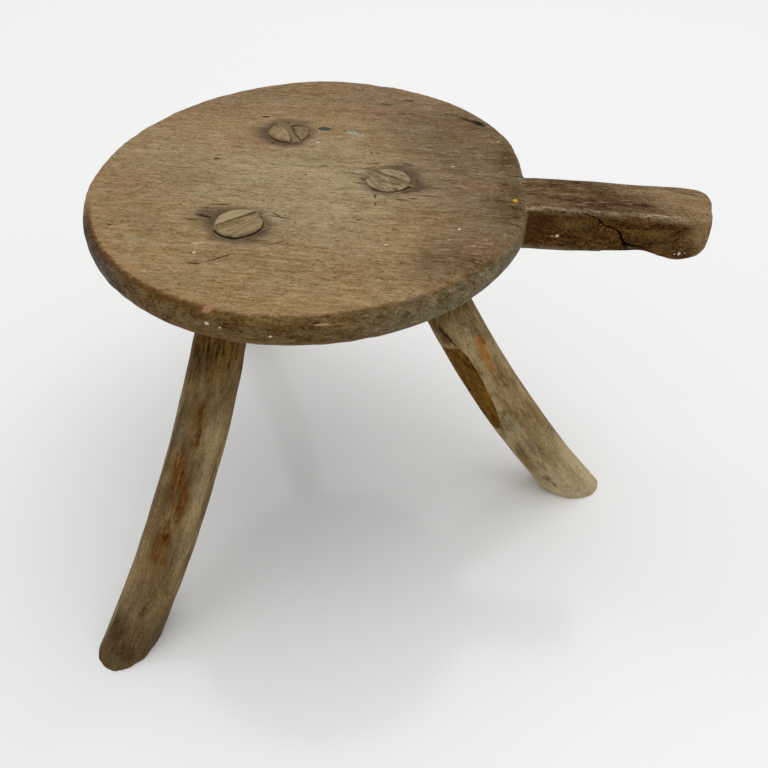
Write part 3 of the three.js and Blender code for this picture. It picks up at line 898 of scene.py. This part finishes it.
def seat_finish():
    wood = Finish("seat_plank_worn_hardwood")
    place = wood.node("TexCoord", output="Object")
    stool = wood.vector("SUBTRACT", place, tuple(v * MM for v in SEAT_MIDDLE))
    stool = wood.vector("SCALE", stool, 1 / MM)
    x, y, z = wood.parts(stool)
    flow = wood.warped(stool, (90, 40, 40), (0, 7, 7), 3.1)
    rough_edge = wood.warped(stool, (14, 9, 9), (10, 8, 3), 5.3)
    ragged = wood.warped(stool, (2.6, 2.0, 2.0), (2.6, 2.0, 1.0), 7.7)

    cloud = wood.grain(flow, (46, 22, 22), 11.0, 3.0, 0.6)
    band = wood.grain(flow, (110, 6, 6), 2.0, 3.0, 0.6)
    streak = wood.grain(flow, (12, 1.5, 1.5), 5.0, 3.0, 0.66)
    fine = wood.grain(stool, (2.6, 0.8, 0.8), 9.0, 2.0, 0.6)
    mottle = wood.grain(stool, (8, 5, 5), 13.0, 4.0, 0.65)
    coarse = wood.grain(stool, (3.4, 2.4, 2.4), 15.0, 3.0, 0.7)
    hue = wood.grain(flow, (26, 11, 11), 17.0, 3.0, 0.6)

    gap = wood.node("Attribute", {"attribute_name": "edge_gap"}, output="Fac")
    brim = gap + (coarse - 0.5) * 2.5
    down = wood.between(z, 233.7, 230.8).most(wood.between(brim, 4.8, 2.8) * wood.between(y, -34, -72))
    handle = wood.between(x, 119.5, 123)
    under = wood.between(z, 211, 207.6)
    front = wood.between(y, -10, -80)

    # the top
    olive = wood.spot(rough_edge, (-2, -12, TOP), (100, 82, 40), -10, 0.8)
    wood.colour = wood.over((148, 121, 85), (156, 137, 103), olive)
    wood.lay((150, 127, 96), wood.spot(rough_edge, (-92, 14, TOP), (52, 62, 40), 0, 0.8) * 0.7)
    wood.lay((116, 97, 70), wood.between(x + y * 0.45, 28, 96))
    wood.lay((134, 110, 80), wood.between(y - x * 0.15, 62, 104) * 0.7)
    wood.lay((110, 88, 60), wood.spots(rough_edge, (
        (88, -74, 46, 34, 40), (84, 74, 36, 30, -35)), 0.8))
    wood.lay((89, 68, 41), wood.spots(rough_edge, (
        (116, -12, 24, 38), (112, 36, 16, 26, 14)), 0.8) * 0.85)
    wood.lay((158, 128, 88), wood.spots(rough_edge, (
        (6, -112, 92, 22, 6), (-70, -88, 44, 16, -40)), 0.8) * 0.55)
    wood.lay((126, 104, 76), wood.spot(rough_edge, (-84, -58, TOP), (24, 15, 9), -30, 0.8) * 0.4)
    wood.lay((144, 106, 80), wood.spots(rough_edge, (
        (64, -37, 30, 9, 4), (94, 2, 20, 12, -8), (-50, 36, 40, 12, 0), (24, 88, 40, 10, 0),
        (-104, -22, 18, 26, 0), (96, -60, 16, 11, 30), (20, -24, 20, 4, 4),
        (30, -92, 26, 5, 8)), 0.85) * 0.42)
    wood.colour = wood.vector("MULTIPLY", wood.colour, wood.node("CombineXYZ", None, {
        0: 1 + (hue - 0.5) * 0.14, 1: 1, 2: 1 - (hue - 0.5) * 0.24}))

    # the sides of the plank, long grain in front and end grain on the left, and the underside
    rim = wood.over((91, 68, 34), (112, 89, 50), wood.between(mottle, 0.36, 0.66))
    amber = wood.between(band, 0.48, 0.66) * wood.between(z, 214, 222) * front * wood.between(x, -50, -10)
    rim = wood.over(rim, (112, 84, 34), amber * 0.6)
    left = wood.over((76, 62, 51), (94, 80, 69), wood.between(mottle, 0.36, 0.68))
    rim = wood.over(rim, left, wood.between(x - y * 0.4, -18, -62))
    right = wood.over((100, 86, 60), (122, 108, 80), wood.between(mottle, 0.34, 0.66))
    rim = wood.over(rim, right, wood.between(x - y * 0.35, 70, 104) * (1 - handle))
    rim = wood.over(rim, (66, 46, 20), wood.between(coarse, 0.56, 0.72) * 0.2)
    rim = wood.over(rim, (112, 98, 84), wood.between(z, 214.5, 210.5) * 0.6)
    wood.lay(rim, down * (1 - handle))

    # the handle
    grip = wood.over((80, 57, 29), (110, 87, 56), wood.between(cloud, 0.42, 0.6))
    grip = wood.over(grip, (142, 116, 82), wood.between(x + y * 0.6, 164, 212) * 0.85)
    grip = wood.over(grip, (98, 78, 52), wood.between(y, 8, 15) * 0.5)
    grip = wood.over(grip, (70, 42, 18), wood.spots(rough_edge, (
        ((146, -5, TOP), (26, 4.5, 5), -2), ((182, -7, TOP), (16, 3.4, 5), 0),
        ((134, 6, TOP), (14, 3, 5), 0)), 0.7) * 0.7)
    grip = wood.over(grip, (146, 102, 62), wood.spots(rough_edge, (
        ((223, 2, TOP), (6, 9, 8), 0),), 0.7) * 0.4)
    grit = wood.grain(stool, (1.1, 1.0, 1.0), 19.0, 3.0, 0.7)
    cheek = wood.over((54, 29, 5), (102, 70, 24), wood.between(
        coarse * 0.3 + grit * 0.25 + mottle * 0.45, 0.41, 0.6))
    cheek = wood.over(cheek, (76, 43, 6), wood.between(x, 142, 124) * 0.55)
    cheek = wood.over(cheek, (108, 84, 40), wood.spots(rough_edge, (
        ((148, -18, 226), (18, 6, 5), 0), ((196, -18, 224), (12, 6, 5), 0)), 0.8) * 0.65)
    cheek = wood.over(cheek, (90, 76, 42), wood.spot(rough_edge, (205, -18, 216), (14, 8, 5), 0, 0.8) * 0.5)
    cheek = wood.over(cheek, (144, 115, 76), wood.between(x, 206, 220) * wood.between(z, 212, 226))
    cheek = wood.over(cheek, (138, 111, 74), wood.between(x, 215, 222) * 0.8)
    low_edge = wood.between(z, 212.4, 209.6) * wood.between(x, 200, 190) * wood.between(mottle, 0.34, 0.5)
    cheek = wood.over(cheek, (112, 98, 74), low_edge * 0.75)
    grip = wood.over(grip, cheek, wood.between(z, 232.6, 230.6))
    wood.lay(grip, handle)
    wood.lay((116, 100, 80), under * 0.75)

    # grain
    cheeks = handle * down
    tone = 1 + (cloud - 0.5) * 0.5 + (band - 0.5) * 0.6 + (streak - 0.5) * 1.4 + (fine - 0.5) * 0.8
    tone = tone + (mottle - 0.5) * (0.8 - 0.5 * down)
    tone = tone + (coarse - 0.5) * (0.6 + cheeks * 0.5) + (grit - 0.5) * (1.7 + cheeks * 2.0)
    wood.tone(tone.most(0.4), 0.55, 0.2 - cheeks * 0.17)
    pale_fibre = wood.between(wood.grain(flow, (7, 1.0, 1.0), 21.0, 2.0, 0.5), 0.6, 0.7)
    wood.lay((184, 160, 126), pale_fibre * 0.4 * (1 - down))
    dark_fleck = wood.between(wood.grain(flow, (5, 0.9, 0.9), 27.0, 2.0, 0.5), 0.62, 0.7)
    wood.lay((84, 66, 44), dark_fleck * 0.42)

    # dirt that gathered round the tenons, and the open grain beside them
    halo = wood.spots(rough_edge, (
        (-33, 50, 24, 19, 0), (-24, 38, 18, 8, 0), (-40, -50, 24, 17, 0), (-27, -60, 22, 18),
        (48, 10, 18, 16, -20), (59, -3, 14, 10), (-50, -48, 12, 7, 0)), 0.75)
    wood.lay((74, 60, 44), halo * wood.between(streak * 0.45 + coarse * 0.3 + grit * 0.25, 0.32, 0.58) * 0.95)
    reaches = []
    for leg in LEGS:
        away = wood.vector("SUBTRACT", stool, (leg.hole[0], leg.hole[1], SEAT_HEIGHT))
        down_axis = tuple(float(v) for v in leg.axes(np.array(0.0))[0])
        reaches.append(wood.node("VectorMath", {"operation": "LENGTH"}, {
            0: wood.vector("CROSS_PRODUCT", away, down_axis)}, output=1))
        close = wood.between(reaches[-1] + (mottle - 0.5) * 9, 20, 14) * wood.between(z, 229, 232)
        wood.lay((84, 69, 50), close * 0.55)
    # open grain, with one dark line laid over the cut crack by the front tenon as painted shade
    open_grain_and_crack_shade = wood.spots(ragged, (
        (52, -19, 6, 0.8), (58, -17, 5, 0.7), (59, -9, 6, 0.8, -4), (66, -13, 9, 0.7, 2),
        (28, 1, 5, 0.8), (27, -5, 6, 0.7), (20, 6, 10, 0.6, -4), (-46, -38, 9, 0.8, 12),
        (-52, -43, 7, 0.7, 4), (-14, -44, 6, 0.8, -30), (70, -4, 10, 0.6), (76, 6, 9, 0.6, 3),
        (33, 20, 7, 0.8, 20), (52, 21, 6, 0.9, -20), (-19, -70, 8, 0.6, 12),
        (-52, -51, 7, 1.3, -16), (-58, -55, 5, 0.8, 0), (-12, -46, 9, 0.8, -8),
        (-17, -60, 5, 0.8, 30), (46, 18, 9, 0.9, 4), (30, 14, 6, 0.8, 30)), 0.7)
    wood.lay((62, 47, 30), open_grain_and_crack_shade * 0.85)

    # the worn top edge, paler, with a painted highlight just inside it, and a thin painted shade line under
    # it on the sitters' left, where the edge turns down
    worn = wood.band(brim + (mottle - 0.5) * 4, 5, 8, 2.4) * (1 - handle)
    worn = worn * front * wood.between(x - y * 0.4, 92, 56) * wood.between(streak, 0.4, 0.6)
    wood.lay((160, 124, 78), worn * 0.5)
    # painted shade: a dark line where the top's edge starts to turn down
    edge_shade_line = wood.band(brim, 2.4, 4.2, 1.2) * wood.between(y, -34, -72) * (1 - handle)
    sides = wood.between(x, -10, -44).most(wood.between(x, 20, 50) * 0.5)
    wood.lay((94, 60, 22), edge_shade_line * sides * wood.between(mottle * 0.5 + grit * 0.5, 0.38, 0.54) * 0.85)

    # a painted highlight along the handle's rounded front ridge, and a painted highlight on the inner corner
    # where the handle meets the rim
    ridge_highlight = wood.spot(ragged, (164, -16.1, 233.7), (400, 2.3, 2.3), 0.2, 0.8) * wood.band(x, 124, 206, 4)
    ridge_highlight_grain = wood.between(wood.grain(stool, (2.4, 1.0, 1.0), 33.0, 3.0, 0.7), 0.44, 0.58)
    ridge_highlight_strength = wood.between(x, 150, 138).most(wood.band(x, 184, 208, 6)) * 0.62 + 0.42
    wood.lay((178, 160, 132), ridge_highlight * ridge_highlight_grain * ridge_highlight_strength)
    # painted highlight: a thin pale line down the inner corner where the handle meets the rim, and across its
    # top
    root = wood.spots(ragged, (
        ((121.8, -18.6, 222), (0.9, 1.6, 15), 0), ((121.4, -16, 234), (1.0, 5, 2), 0)), 0.7)
    wood.lay((152, 124, 76), root * 0.75)

    # scratches, flecks and old paint, and painted shade laid along the cut cracks of the handle
    # scratches, two of them laid over the handle's top cracks as painted shade
    scratches_and_crack_shade = wood.spots(ragged, (
        (-46, -94, 5.5, 1.0, 2), (-35, -88, 11, 0.8, 38), (-9, -71, 10, 0.5, 34),
        (51, -50, 3.2, 0.6, -28), (36.6, -18, 0.9, 3.4, 12), (37.8, -26, 0.7, 3.4, 4),
        (31, -43, 2.2, 0.7, 10), (3, 12, 4, 0.6, 20), (-6, 1, 2.0, 0.8, 0),
        (29, 32, 2.0, 0.8, -60), (84.4, -2.9, 1.0, 1.0), (-107.5, 6, 0.9, 0.8),
        (-99, -66, 2.0, 0.8, -5), (31.4, 100.8, 7, 1.5, 2), (42.7, 87.7, 4.6, 1.2, 4),
        (49, 88.6, 2.6, 1.1, 0), (45.5, 109, 5, 2.0, -6), (28.4, 0.6, 1.6, 0.8),
        (214, 10.6, 7, 0.8, -14), (117, 16.2, 6, 0.8, 0)), 0.6)
    wood.lay((62, 42, 24), scratches_and_crack_shade * 0.8)
    faint = wood.spots(ragged, ((-94, -28, 18, 1.0, 60), (-84, -20, 12, 0.8, 56)), 0.8)
    wood.lay((100, 76, 50), faint * 0.6)
    # dark marks in the gouges, and painted shade over the crack and gouge on the handle's front
    black_marks_and_crack_shade = wood.spots(ragged, (
        (92.4, 81, 7.5, 3.6, -40), (-61.4, 12.3, 2.5, 1.4, 8), (-43.9, 70.9, 3.4, 1.4, 4),
        ((59.2, -114.2, 233.6), (5.4, 1.9, 1.6), 28),
        (86, 84.5, 9, 2.2, -36), ((180, -17, 215.8), (3.4, 9, 1.7), 0), ((186, -17, 215.4), (6, 9, 1.1), 0),
        ((183, -17, 212.4), (6, 9, 1.2), 0), ((180, -17, 213.4), (1.5, 9, 1.8), 0)), 0.5)
    wood.lay((22, 14, 7), black_marks_and_crack_shade * 0.88)
    wood.lay((72, 44, 26), wood.spots(ragged, (
        (54, -9.4, 4.4, 2.4, 20), (60, -7, 3, 1.2, 0)), 0.6) * 0.8)
    slate = wood.spot(stool, (-4.1, 59.3, TOP), (4.7, 2.9, 3), 4, 0.22)
    wood.lay((68, 68, 64), slate)
    blue = wood.spots(ragged, ((12.5, 57, 4.5, 2.2, -8), (19.5, 53.8, 5, 2.4, -6),
                               (15.5, 56, 4, 3.2, 0)), 0.7)
    wood.lay((150, 163, 150), blue * wood.between(grit, 0.36, 0.52) * 0.9)
    green = wood.spots(rough_edge, ((-82.4, -76.8, 6, 4), (-62, -30, 5, 4)), 0.8)
    wood.lay((142, 140, 112), green * 0.5)
    smear = wood.spots(ragged, (
        (-48.2, -76.4, 4.6, 1.8, 20), (79.4, 22.4, 1.8, 0.8), (75.8, 10.5, 3, 0.5, -5),
        (105.5, 57.7, 2.2, 1.0, 40), (92.9, -60.6, 1.4, 0.9), (79.9, -56.1, 1.2, 0.7),
        ((24, -129, 231), (6, 2, 0.8), 0)), 0.6)
    wood.lay((196, 172, 140), smear * 0.7)
    pink = wood.spots(ragged, (((-30.4, -128.4, 233.6), (3.4, 2.6, 2.0), 0), (92.9, -60.6, 1.4, 0.9)), 0.6)
    wood.lay((196, 142, 116), pink * wood.between(grit, 0.34, 0.5) * 0.85)
    white = wood.spots(ragged, (
        (-5.2, 40.5, 1.3, 1.0), (47.4, -64.6, 1.9, 0.9, 10), (84.8, -45.6, 1.0, 0.8),
        (13.9, 3.1, 0.9, 0.6), (78.6, 22.4, 0.9, 0.7), (-48.3, -84.7, 1.1, 0.9),
        ((-68.8, -114.1, 233.8), (1.3, 1.1, 1.1), 30), ((-30.1, -131.1, 227.6), (1.5, 1.4, 1.1), 0),
        ((-23.7, -132.2, 226.8), (0.8, 1.2, 0.9), 0), ((0.6, -133.2, 224.6), (1.0, 1.4, 0.8), 0),
        ((85.2, -93.6, 219.8), (0.9, 1.4, 1.4), 0), ((141, -18.4, 218.3), (1.3, 1.6, 1.1), 0),
        ((138, -18.4, 218), (0.6, 1.6, 0.5), 0), ((210.3, -18.8, 212.9), (0.8, 1.6, 1.6), 0),
        ((213, -18.8, 213.4), (0.6, 1.6, 0.6), 0), ((207.8, -18.8, 212.2), (1.0, 1.6, 0.5), 0)), 0.45)
    wood.lay((222, 212, 192), white * 0.9)
    yellow = wood.spot(ragged, (115.1, -11.6, TOP), (1.9, 2.1, 3), 0, 0.4)
    wood.lay((206, 164, 22), yellow)
    nicked = wood.spot(ragged, (31.5, -127.4, 230.6), (8.5, 2.4, 0.6), 16, 0.6)
    wood.lay((150, 122, 62), nicked * 0.7)

    # knife marks across the end of the handle
    across = x * 0.8 + y * 0.6
    strokes = wood.node("Math", {"operation": "SINE"}, {0: across * 1.7 + cloud * 14})
    knife = wood.between(strokes, 0.8, 0.98) * wood.between(mottle, 0.4, 0.55) * wood.spots(
        rough_edge, (((190, -9, 234), (8, 6, 4), 0), ((208, -12, 234), (9, 5, 4), 0)), 0.6)
    wood.lay((58, 38, 20), knife * 0.85)

    # painted shade on the walls just inside the holes round the tenons
    for reach in reaches:
        inside = wood.between(reach, 15.9, 15.4) * wood.between(z, 234.0, 233.4)
        wood.lay((24, 16, 8), inside)

    relief = (streak - 0.5) * 0.6 + (fine - 0.5) * 0.35 + (band - 0.5) * 0.3 - dark_fleck * 0.35
    relief = relief - open_grain_and_crack_shade * 0.5 + (coarse - 0.5) * (0.2 + 0.4 * down)
    relief = relief - scratches_and_crack_shade * 0.6 - knife * 0.5 + white * 0.4
    roughness = 0.6 + (mottle - 0.5) * 0.25 + (streak - 0.5) * 0.15
    return wood.done(roughness, relief, distance=0.0007, strength=0.9)


def leg_finish(leg, tints, root, amber, rust, pale, dark, patches):
    """Hewn branch wood, its marks placed as (degrees round, millimetres along, half sizes)."""
    wood = Finish(leg.name + "_hewn_branch")
    branch = wood.node("Attribute", {"attribute_name": "branch"}, output="Vector")
    branch = wood.vector("SCALE", branch, 1 / MM)
    place = wood.node("TexCoord", output="Object")
    height = wood.parts(wood.vector("SCALE", place, 1 / MM))[2]
    along = wood.parts(branch)[2]
    flow = wood.warped(branch, (30, 30, 70), (4, 4, 0), 3.0 + leg.turn)
    ragged = wood.warped(branch, (2.6, 2.6, 6), (3.4, 3.4, 7), 6.0 + leg.turn)
    soft_edge = wood.warped(branch, (8, 8, 16), (8, 8, 12), 7.0 + leg.turn)
    cloud = wood.grain(flow, (14, 14, 36), 1.0 + leg.turn, 3.0, 0.6)
    streak = wood.grain(flow, (1.7, 1.7, 17), 4.0 + leg.turn, 3.0, 0.66)
    fine = wood.grain(branch, (0.8, 0.8, 4), 8.0 + leg.turn, 2.0, 0.6)
    mottle = wood.grain(branch, (4, 4, 7), 9.0 + leg.turn, 4.0, 0.68)

    def on_leg(angle, at, round_half, along_half, reach=MARK_REACH):
        turn = math.radians(angle)
        place = (reach * math.cos(turn), reach * math.sin(turn), at)
        return place, (round_half, round_half, along_half), 0

    def marked(warp, places, soft):
        return wood.spots(warp, [on_leg(*place) for place in places], soft)

    deep, light, end_tint = tints
    wood.colour = wood.over(deep, light, wood.between(cloud, 0.38, 0.62))
    wood.lay((100, 72, 38), wood.between(mottle, 0.52, 0.66) * 0.6)
    near_seat = wood.between(along + (mottle - 0.5) * 40, root[2], root[2] - 44)
    golden = wood.over(root[0], root[1], wood.between(streak * 0.6 + cloud * 0.4, 0.4, 0.6))
    wood.lay(golden, near_seat * 0.92)
    wood.lay(end_tint, wood.between(along, 222, 262) * 0.9)
    wood.lay((166, 148, 108), marked(soft_edge, pale, 0.85) * 0.6)
    wood.lay((64, 46, 22), marked(soft_edge, dark, 0.85) * 0.65)
    for tint, amount, places in patches:
        wood.lay(tint, marked(ragged, places, 0.75) * amount)
    grit = wood.grain(branch, (1.0, 1.0, 1.1), 17.0, 3.0, 0.7)
    if leg.name == "leg_handle_side":
        split = wood.node("Attribute", {"attribute_name": "sliver"}, output="Fac")
        bare = wood.over((84, 54, 5), (120, 84, 16), wood.between(mottle * 0.6 + grit * 0.4, 0.38, 0.62))
        lit = marked(soft_edge, ((88, 160, 5, 12), (104, 182, 6, 9)), 0.8)
        bare = wood.over(bare, (146, 100, 34), lit * 0.6)
        wood.lay(bare, wood.between(split + (mottle - 0.5) * 0.7, 0.35, 0.65))
        # painted shade along the split beside the lost sliver
        split_shade = marked(wood.warped(branch, (2, 2, 5), (0.8, 0.8, 2), 12.0), [(*place, 15.1) for place in (
            (117, 98, 0.8, 3.5), (113.5, 101, 0.9, 3.5), (110, 104, 1.1, 3.5), (106, 108, 1.1, 3.5),
            (102, 112, 0.8, 3.5), (109, 98.5, 0.5, 3.5), (104.5, 103, 0.5, 3.5))], 0.6)
        wood.lay((30, 15, 5), split_shade * 0.9)
    tone = 1 + (streak - 0.5) * 1.1 + (fine - 0.5) * 0.9 + (cloud - 0.5) * 0.5
    tone = tone + (mottle - 0.5) * 0.9 + (grit - 0.5) * 2.0
    wood.tone(tone.most(0.4), 0.75, 0.1)
    if amber:
        broken = wood.between(streak * 0.4 + mottle * 0.3 + grit * 0.3, 0.44, 0.56)
        stain = marked(soft_edge, amber, 0.7) * broken
        wood.lay((104, 66, 18), stain * 0.9)
    if rust:
        stain = marked(ragged, rust, 0.7) * wood.between(streak * 0.5 + grit * 0.5, 0.43, 0.54)
        burnt = wood.over((74, 36, 4), (116, 73, 13), wood.between(fine * 0.5 + mottle * 0.5, 0.42, 0.6))
        wood.lay(burnt, stain)

    # the whittled end that shows in the seat's top, with wide growth rings
    rings = wood.node("VectorMath", {"operation": "LENGTH"}, {
        0: wood.vector("MULTIPLY", wood.vector("ADD", flow, (11, 22, 0)), (1, 1, 0))}, output=1)
    ringed = wood.node("Math", {"operation": "SINE"}, {0: rings * 2.6})
    pores = wood.grain(branch, (1.1, 1.1, 3), 14.0, 4.0, 0.68)
    drawn = wood.grain(place, (7 * MM, 1.2 * MM, 20 * MM), 3.0, 3.0, 0.6, turn=leg.wedge["angle"])
    face = wood.over((114, 95, 64), leg.wedge["tint"], wood.between(drawn * 0.7 + mottle * 0.3, 0.34, 0.6))
    face = wood.over(face, (130, 106, 74), wood.between(mottle, 0.5, 0.68) * 0.4)
    # painted highlight on the highest crests of the tenon's end
    face = wood.over(face, (178, 158, 120), wood.between(height, 235.5, 236.4) * 0.6)
    face = wood.vector("SCALE", face, 1 + (pores - 0.5) * 0.5 + (drawn - 0.5) * 0.8 + ringed * 0.03)
    # painted shade on the tenon's side below the seat's top, down in the gap round it
    face = wood.over(face, (26, 17, 8), wood.between(height, 235.25, 234.45) * 0.95)
    wood.lay(face, wood.between(height, 214, 216))

    relief = (streak - 0.5) * 0.6 + (fine - 0.5) * 0.35 + (mottle - 0.5) * 0.5
    relief = relief + drawn * 0.4 * wood.between(height, 226, 230)
    return wood.done(0.66 + (mottle - 0.5) * 0.2, relief, distance=0.0008, strength=0.9)


def wedge_finish():
    wood = Finish("wedge_split_wood")
    place = wood.vector("SCALE", wood.node("TexCoord", output="Object"), 1 / MM)
    height = wood.parts(place)[2]
    streak = wood.grain(place, (1.2, 1.2, 8), 2.0, 3.0, 0.6)
    mottle = wood.grain(place, (3, 3, 5), 6.0, 4.0, 0.6)
    wood.colour = wood.over((112, 93, 62), (146, 126, 90), wood.between(streak, 0.36, 0.62))
    wood.lay((92, 74, 48), wood.between(mottle, 0.5, 0.68) * 0.5)
    # painted shade on the wedge below the seat's top, down in its slot
    wood.lay((38, 27, 13), wood.between(height, 234.5, 233.2) * 0.9)
    return wood.done(0.7 + (mottle - 0.5) * 0.2, streak + mottle * 0.5, distance=0.0008, strength=0.8)


# Putting it together

def name_place(piece, key, values, kind):
    layer = piece.data.attributes.new(key, kind, "POINT")
    kept = "vector" if kind == "FLOAT_VECTOR" else "value"
    layer.data.foreach_set(kept, np.asarray(values, np.float32).ravel())


def settle(piece, name, node, slot, material, shift):
    """Puts a finished piece in the frame, in metres, inside the solids' box, and dresses it."""
    shape = bmesh.new()
    shape.from_mesh(piece.data)
    bmesh.ops.remove_doubles(shape, verts=shape.verts[:], dist=WELD_WITHIN)
    bmesh.ops.dissolve_degenerate(shape, edges=shape.edges[:], dist=THINNEST)
    bmesh.ops.recalc_face_normals(shape, faces=shape.faces[:])
    shape.to_mesh(piece.data)
    shape.free()
    points = (points_of(piece) + shift + SEAT_MIDDLE) * MM
    move(piece, np.clip(points, np.array(solid_low), np.array(solid_high)))
    piece.name = piece.data.name = name
    piece.data.materials.clear()
    piece.data.materials.append(material)
    piece.data.shade_smooth()
    piece.data.set_sharp_from_angle(angle=math.radians(SHARP_FROM))
    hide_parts(node)
    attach(piece, "root")


def make_stool():
    seat = make_seat(LEGS)
    settle(seat, "seat_plank", "seat_with_handle", "seat_wood", seat_finish(), (0, 0, 0))
    x, y, _ = ((points_of(seat) / MM) - SEAT_MIDDLE).T
    gap = outline(np.arctan2(y, x)) - np.hypot(x, y)
    name_place(seat, "edge_gap", np.clip(gap, -20, 40), "FLOAT")

    marks = {
        "leg_front_left": dict(
            tints=((118, 96, 62), (146, 125, 84), (92, 73, 48)), root=((38, 18, 2), (106, 72, 8), 108),
            amber=((90, 112, 8, 30), (104, 150, 10, 34), (84, 168, 8, 30), (96, 200, 9, 30), (60, 48, 8, 30)),
            rust=((84, 84, 2.4, 12), (92, 110, 4.0, 15), (86, 124, 4.0, 13), (112, 142, 4.6, 14),
                  (100, 150, 4.0, 15), (106, 162, 3.4, 11), (80, 160, 3.8, 15), (80, 174, 3.6, 12),
                  (104, 178, 2.0, 12), (94, 184, 2.8, 10), (90, 192, 4.6, 7), (80, 64, 1.8, 9),
                  (98, 205, 2.8, 8), (108, 196, 2.2, 10)),
            pale=((45, 122, 7, 26), (46, 160, 7, 40), (62, 118, 6, 12), (40, 205, 6, 22), (152, 254, 4, 22)),
            dark=((126, 34, 8, 20), (124, 262, 11, 16), (88, 272, 12, 9), (82, 244, 3.0, 8),
                  (118, 168, 5, 26), (140, 130, 5, 60)),
            patches=(((112, 98, 80), 0.5, ((128, 124, 6, 12),)),
                     ((84, 28, 4), 0.9, ((90, 191, 3.4, 5.0), (80, 94, 2.0, 6))),
                     ((120, 94, 72), 0.5, ((116, 226, 8, 16), (100, 240, 7, 12))),
                     ((142, 108, 40), 0.6, ((52, 48, 6, 14), (62, 66, 3, 12))))),
        "leg_handle_side": dict(
            tints=((134, 111, 72), (172, 151, 110), (182, 164, 126)), root=((64, 38, 4), (108, 79, 24), 122),
            amber=((46, 150, 6, 16), (70, 60, 10, 34), (108, 186, 6, 10)),
            # the last rust mark lies along the split and stands in as painted shade there
            rust=((36, 120, 1.6, 5), (33, 130, 1.2, 4), (46, 158, 2.0, 2.4), (112, 98, 1.2, 12)),
            pale=((62, 170, 2.6, 3), (40, 226, 10, 34), (64, 244, 8, 22), (40, 262, 10, 16)),
            dark=((104, 214, 5, 22), (98, 250, 5, 8), (92, 258, 3, 5), (84, 178, 3, 5)),
            patches=(((166, 110, 46), 0.85, ((43, 120, 6, 9), (49, 129, 6, 10), (54, 139, 5, 9))),
                     ((138, 104, 66), 0.45, ((57, 152, 6, 16), (60, 170, 6, 18), (44, 164, 5, 18))),
                     ((112, 104, 86), 0.45, ((88, 190, 6, 12), (76, 214, 5, 12))),
                     ((90, 60, 16), 0.75, ((114, 106, 6, 9), (122, 97, 6, 8))))),
        "leg_back": dict(
            tints=((116, 95, 61), (144, 123, 83), (118, 98, 70)), root=((50, 28, 6), (108, 80, 30), 110),
            amber=((-60, 120, 7, 24), (-20, 190, 6, 26), (120, 140, 7, 26)),
            rust=((-60, 120, 2.6, 12), (-24, 200, 2.6, 12), (118, 150, 2.6, 12)),
            pale=((-90, 150, 8, 40), (20, 220, 8, 26), (60, 130, 8, 30)),
            dark=((-120, 90, 7, 20), (0, 262, 9, 12), (160, 70, 8, 20)),
            patches=(((112, 92, 80), 0.5, ((60, 200, 8, 24),)),)),
    }
    wedge_wood = wedge_finish()
    for leg in LEGS:
        shift = (leg.hole[0], leg.hole[1], SEAT_HEIGHT)
        own = leg_finish(leg, **marks[leg.name])
        for piece, name, node, slot, finish in (
            (make_leg(leg), leg.name + "_hewn", leg.name, "leg_wood", own),
            (make_wedge(leg), leg.wedge["name"] + "_split", leg.wedge["name"], "wedge_wood", wedge_wood),
        ):
            settle(piece, name, node, slot, finish, shift)
            local = points_of(piece) / MM - SEAT_MIDDLE - shift
            straight = leg.unbend(local)
            name_place(piece, "branch", straight * MM, "FLOAT_VECTOR")
            if leg.name == "leg_handle_side":
                turn = np.arctan2(straight[:, 1], straight[:, 0])
                name_place(piece, "sliver", sliver(leg, turn, straight[:, 2]), "FLOAT")


FLOOR_SIZE, FLOOR_TINT, FLOOR_ROUGH, FLOOR_SHEEN = 6, (251, 251, 250), 0.16, 0.4
LAMP_AT, LAMP_SIZE, LAMP_POWER, LAMP_TINT = (0.25, 0.55, 3.0), (3.2, 2.6), 39.5, (1.0, 0.985, 0.96)
BACKDROP, SURROUND_TINT, SURROUND_LIGHT = 0.9, (0.97, 0.985, 1, 1), 0.62


def put_studio():
    """A pale floor, one broad soft lamp overhead and an even, plain surround."""
    shape = bmesh.new()
    bmesh.ops.create_grid(shape, x_segments=1, y_segments=1, size=FLOOR_SIZE)
    floor = piece_from(shape, "floor")
    table = Finish("floor_pale_satin")
    table.feed(table.shader.inputs["Base Color"], (*paint(*FLOOR_TINT), 1))
    table.feed(table.shader.inputs["Roughness"], FLOOR_ROUGH)
    table.feed(table.shader.inputs["Specular IOR Level"], FLOOR_SHEEN)
    floor.data.materials.append(table.material)

    lamp = bpy.data.objects.new("lamp_overhead", bpy.data.lights.new("lamp_overhead", "AREA"))
    bpy.context.scene.collection.objects.link(lamp)
    lamp.data.shape, (lamp.data.size, lamp.data.size_y) = "RECTANGLE", LAMP_SIZE
    lamp.data.energy, lamp.data.color = LAMP_POWER, LAMP_TINT
    at = Vector(LAMP_AT)
    lamp.matrix_world = Matrix.Translation(at) @ (-at).to_track_quat("-Z", "Y").to_matrix().to_4x4()

    bpy.context.scene.world = bpy.data.worlds.new("surround")
    surround = Tree(bpy.context.scene.world)
    rays = [surround.node("LightPath", output=kind) for kind in ("Is Camera Ray", "Is Glossy Ray")]
    straight = surround.node("Math", {"operation": "ADD", "use_clamp": True}, dict(enumerate(rays)))
    light = surround.node("Background", None, {"Color": SURROUND_TINT, "Strength": SURROUND_LIGHT})
    seen = surround.node("Background", None, {"Color": (1, 1, 1, 1), "Strength": BACKDROP})
    shown = surround.node("MixShader", None, {0: straight, 1: light, 2: seen})
    surround.feed(surround.nodes.new("ShaderNodeOutputWorld").inputs["Surface"], shown)
    bpy.context.scene.view_settings.view_transform = "Standard"


put_camera()
put_studio()
make_stool()
